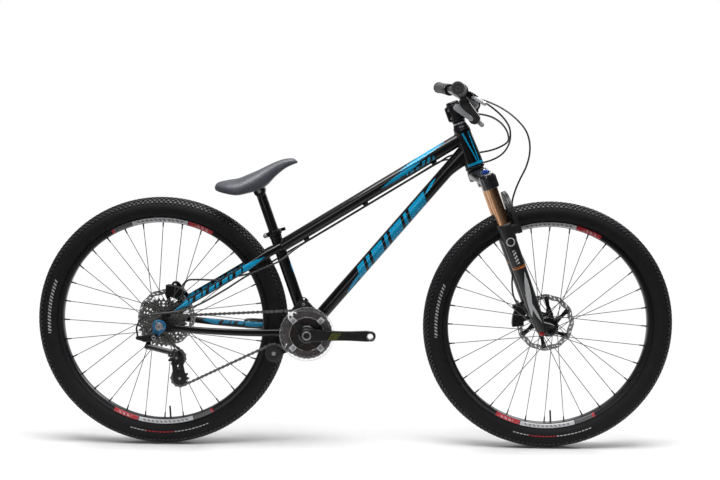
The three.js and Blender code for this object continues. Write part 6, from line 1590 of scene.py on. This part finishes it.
def arm_outline(reach, boss, end, waist):
    """Half width along the arm: from the boss down to a waist and up again to the end"""
    s = np.linspace(0.10, 0.93, 16)
    half = boss + (end - boss) * s - np.sin(np.pi * s) ** 1.2 * ((boss + end) / 2 - waist)
    upper = np.stack([s * reach, half], -1)
    far, near = np.radians(np.linspace(66, -66, 16)), np.radians(np.linspace(262, 98, 18))
    tip, root = polar(end, far, abs(reach)), polar(boss, near)
    if reach < 0:
        tip, root = tip * [-1, 1], root * [-1, 1]
    return np.concatenate([upper, tip, upper[::-1] * [1, -1], root]) + [shell_x, shell_z]


def crank_finish():
    """Gloss black over a forging, with slanted pale green ticks on the outer face"""
    finish = Finish("crank_forging_black")
    x, y, z = finish.parts(finish.place())
    dx, dz = x - shell_x, z - shell_z
    lean = dx - dz * 0.7
    ticks = (lean.repeat(6.4) < 2.6) * (dz.repeat(4.7) < 3.1)
    ticks = ticks * lean.between(64, 90) * dz.between(-10, 10) * (y < -80)
    cloud = finish.noise(0.04, 2.0)
    base = finish.blend(cloud, (0.004, 0.004, 0.005), (0.010, 0.010, 0.011))
    base = finish.blend(ticks, base, (0.22, 0.24, 0.02))
    return finish.surface(base_color=base, roughness=0.26 + finish.noise(0.5) * 0.08,
        specular_ior_level=0.3, coat_weight=0.5, coat_roughness=0.06,
        normal=finish.bump(finish.noise(0.15), 0.05))


crank_black = crank_finish()
ARM_OUTER, ARM_INNER = 87.5, 75.0
right_forms = [plate([arm_outline(170, 18.8, 14.8, 12.6), circle(7.3, 40, shell_x + 170, shell_z)],
    -ARM_OUTER + 0.6, -ARM_INNER, 2.2), lathe(
    [[12.2, -ARM_OUTER + 0.2], [17.6, -ARM_OUTER + 0.2], [18.6, -82], [12.2, -82]], 1.4, 3, crank_place,
    56), lathe([[12.2, -76], [24.6, -70], [24.6, -58.6], [12.2, -58.6]], 3, 4, crank_place, 56)]
for angle, spot in zip(bolt_angles, bolt_spots):
    web = polar(16, angle, shell_x, shell_z)
    right_forms.append(plate([rounded(strap(*web, 15, spot[0], spot[2], 6.9, 14), 2),
        circle(4.5, 24, spot[0], spot[2])], -62.3, -58.4, 1.1))
right_forms.append(collar(9, 12, -87.0, 74.6, 0.8, 2, crank_place, 48))
piece("right_crank_forging", right_forms, crank_black, "crankset", "black_alloy", "right_crank", 35)
left_forms = [plate([arm_outline(-170, 18.8, 14.8, 12.6), circle(7.3, 40, shell_x - 170, shell_z)],
    ARM_INNER, ARM_OUTER - 0.6, 2.2), lathe([[12.4, ARM_OUTER - 0.2], [17.6, ARM_OUTER - 0.2], [18.6, 82],
    [12.4, 82]], 1.4, 3, crank_place, 56), collar(12.4, 18.8, 76, 52.6, 1.6, 3, crank_place, 56)]
piece("left_crank_forging", left_forms, crank_black, "crankset", "black_alloy", "left_crank", 35)
silver_rings = []
for face, eye in ((-1, shell_x + 170), (1, shell_x - 170)):
    outer = face * ARM_OUTER
    silver_rings.append(collar(7.2, 9.6, outer - face * 2.6, outer - face * 0.1, 0.4, 2,
        across(eye, shell_z), 40))
    silver_rings.append(collar(8.6, 12.1, outer - face * 3, outer, 0.6, 3, crank_place, 48))
piece("crank_silver_rings", silver_rings, silver_polished, "crankset", "silver_steel")
caps = [plate([circle(8.8, 40, shell_x, shell_z), circle(4.4, 6, shell_x, shell_z)],
    *sorted((face * (ARM_OUTER - 1.2), face * (ARM_OUTER - 6))), 0.8) for face in (-1, 1)]
piece("crank_bolt_caps", caps, black_anodised, "crankset", "black_alloy")

# Chain guide. A black plate held by the bottom bracket cup, a moulded block that stands
# over the ring, and a round slide below that lifts the chain's lower run.
guide_low, guide_high = -51.2, -48.2
ring_of_cup = circle(22.4, 48, shell_x, shell_z)
guide_black = metal("guide_plate_black", (0.02, 0.02, 0.021), 0.38, coat=0.2, metallic=0.6)
window = rounded(strap(shell_x - 38, shell_z - 23, 5, shell_x - 66, shell_z - 40.5, 4, 10), 1)
guide_forms = [plate([rounded(strap(shell_x, shell_z, 29.6, *SLIDE, 12, 18), 2), ring_of_cup, window],
    guide_low, guide_high, 0.8), plate([rounded(strap(shell_x, shell_z, 29.6, -141, 404, 14.8, 18), 2),
    ring_of_cup, circle(2.7, 20, -139.5, 413.6), rounded(strap(-134.6, 359, 7, -138, 382, 5.5, 10), 1)],
    guide_low - 0.01, guide_high + 0.01, 0.8),
    plate([rounded([[-176, 380], [-164, 396], [-152, 409], [-130, 409], [-118, 396], [-96, 380]], 9, 4)],
    guide_low, guide_high, 0.8), plate([rounded(
    [[-165.4, 392.1], [-158, 401], [-151, 408.4], [-127, 408.4], [-120, 401], [-112.6, 392.1]], 4, 3)],
    -59.7, guide_low + 0.4, 1.4)]
piece("chain_guide_plate", guide_forms, guide_black, "frame", "black_alloy", "chain_guide", 35)
slide_face = CHAIN_Y - 3.85
slide = lathe([[5.4, slide_face - 2.5], [23.2, slide_face - 2.5], [23.2, slide_face - 0.1],
    [19.3, slide_face + 0.4], [19.3, guide_low + 0.1], [5.4, guide_low + 0.1]], 0.8, 2, across(*SLIDE),
    64)
piece("chain_guide_slide", [slide], metal("slide_nylon", (0.006, 0.006, 0.007), 0.4, metallic=0.0),
    "frame", "grey_plastic")
guide_bolts = [rods([SLIDE[0], slide_face - 2.9, SLIDE[1]], [SLIDE[0], -48, SLIDE[1]], 5.3, 28),
    collar(1.8, 4.1, -60.4, -58, 0.4, 2, across(-139.5, 400.6), 28)]
piece("chain_guide_bolts", guide_bolts, silver_polished, "frame", "silver_steel")

# Rear derailleur. A body bolted to the hanger, a slanted link on two pins, a knuckle whose
# barrel holds the cage spring, and a two-plate cage with two toothed pulleys.
slope, slant, swing = np.radians([20, 35, 16.5])
link_along = np.array([np.cos(slope), 0, -np.sin(slope)])
link_axis = (np.array([np.sin(slope), 0, np.cos(slope)]) * np.cos(slant)
    + np.array([0, np.sin(slant), 0]))
link_inward = np.cross(link_axis, link_along)
LINK_REAR = np.array([-556.0, -82, 286])
LINK_FRONT = LINK_REAR + 72 * (np.cos(swing) * link_along - np.sin(swing) * link_inward)
mech_black = metal("derailleur_black", (0.018, 0.018, 0.02), 0.34, coat=0.3, metallic=0.7)
link_grey = metal("derailleur_link_grey", (0.02, 0.02, 0.022), 0.38, coat=0.2, metallic=0.6)


def on_pin(centre, low, high):
    """A round boss on a link pin's axis"""
    side = unit(np.cross(link_axis, [0, 1, 0]))
    place = basis(side, np.cross(link_axis, side), link_axis, centre)
    return collar(0, 6.8, low, high, 1.0, 2, place, 32)


body_face = -dropout_back - 5.3
body_low = body_face - 11.5
body_forms = [plate([rounded(strap(-537, 311, 10.4, -562, 307.5, 9.4, 16), 2)], body_low + 0.2,
    body_face - 0.1, 2.6), plate([rounded(strap(-562, 307.5, 8.4, -581, 309, 4.9, 12), 2)],
    body_low + 1.4, body_face - 0.3, 2.0), on_pin(LINK_REAR, 7.4, 12.8),
    rods(LINK_REAR + link_axis * 11.5, [-562, body_low + 7, 307.5], 4.9, 28, 5.9)]
piece("derailleur_body_casting", body_forms, mech_black, "frame", "black_alloy", "derailleur_body")
body_bolts = [collar(3, 6.2, body_low - 0.2, body_low + 2, 0.4, 2, across(-537, 311), 32),
    rods([-581, -84.6, 313.6], [-581, -84.6, 307], 3.2, 20)]
piece("derailleur_body_bolts", body_bolts, silver_polished, "frame", "silver_steel")

link_way = unit(LINK_FRONT - LINK_REAR)
link_length = np.linalg.norm(LINK_FRONT - LINK_REAR)
link_place = basis(link_way, link_axis, np.cross(link_way, link_axis), LINK_REAR)
link_edge = rounded(strap(0, 0, 6.7, link_length, 0, 6.7, 14), 2)
link_forms = [plate([link_edge], -6.7, 6.7, 2.8, link_place), on_pin(LINK_REAR, -6.9, 6.9),
    on_pin(LINK_FRONT, -6.9, 6.9)]
piece("derailleur_link_plates", link_forms, link_grey, "shift_arm", "black_alloy", "derailleur_link")

CAGE_AT = (-486.0, 265.0)
barrel = lathe([[0, -85.9], [8.6, -85.9], [10.8, -83.8], [10.8, -70], [9.9, -68.5], [10.8, -67],
    [10.8, -64.7], [0, -64.7]], 0.8, 3, across(*CAGE_AT), 44)
neck = rods(LINK_FRONT - link_axis * 10.6, [CAGE_AT[0], -80, CAGE_AT[1] - 3], 2.6, 24, 6.8)
piece("derailleur_knuckle_casting", [barrel, on_pin(LINK_FRONT, -13.2, -7.4), neck], mech_black,
    "shift_knuckle", "black_alloy", "derailleur_knuckle")
piece("derailleur_knuckle_screw", [collar(2.2, 5.2, -86.1, -84.6, 0.4, 2, across(*CAGE_AT), 28)],
    silver_polished, "shift_knuckle", "silver_steel")

middle = (np.array(UPPER) + LOWER) / 2
cage_window = rounded(strap(middle[0] - 0.8, middle[1] + 6, 3.4, middle[0] + 0.8, middle[1] - 8, 2.4, 10),
    1)
cage_forms = [plate([rounded(strap(*UPPER, 14.2, *LOWER, 17.6, 18), 2), cage_window], -64.1, -62.4, 0.5),
    plate([rounded(strap(*UPPER, 11.6, *CAGE_AT, 10.8, 16), 2)], -64.12, -62.38, 0.5),
    plate([rounded(strap(*UPPER, 12.2, *LOWER, 15.6, 18), 2), cage_window], -51.8, -50.1, 0.5)]
cage_forms += [rods([x, -63.6, z], [x, -50.6, z], 2.9, 20) for x, z in (UPPER, LOWER)]
piece("derailleur_cage_plates", cage_forms, mech_black, "shift_cage", "black_alloy", "derailleur_cage")
piece("derailleur_cage_bolts", [rods([x, -64.4, z], [x, -62.2, z], 3.6, 24) for x, z in (UPPER, LOWER)],
    silver_polished, "shift_cage", "silver_steel")
pulley_resin = metal("pulley_resin", (0.022, 0.022, 0.023), 0.5, metallic=0.0)
for index, (x, z), word in ((4, UPPER, "upper"), (3, LOWER, "lower")):
    loops = [sprocket(11, gullet(index), x, z, 2.6, 3.6), circle(5.6, 32, x, z)]
    for spin in turns(5):
        loops.append(circle(2.3, 16, *polar(10.8, spin, x, z)))
    hub = collar(3.5, 5.9, CHAIN_Y - 4.4, CHAIN_Y + 4.4, 0.5, 2, across(x, z), 28)
    piece(f"{word}_pulley_teeth", [plate(loops, CHAIN_Y - 1.4, CHAIN_Y + 1.4, 0.5), hub], pulley_resin,
        f"{word}_pulley_wheel", "grey_plastic", f"{word}_pulley", 30)

low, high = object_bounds()
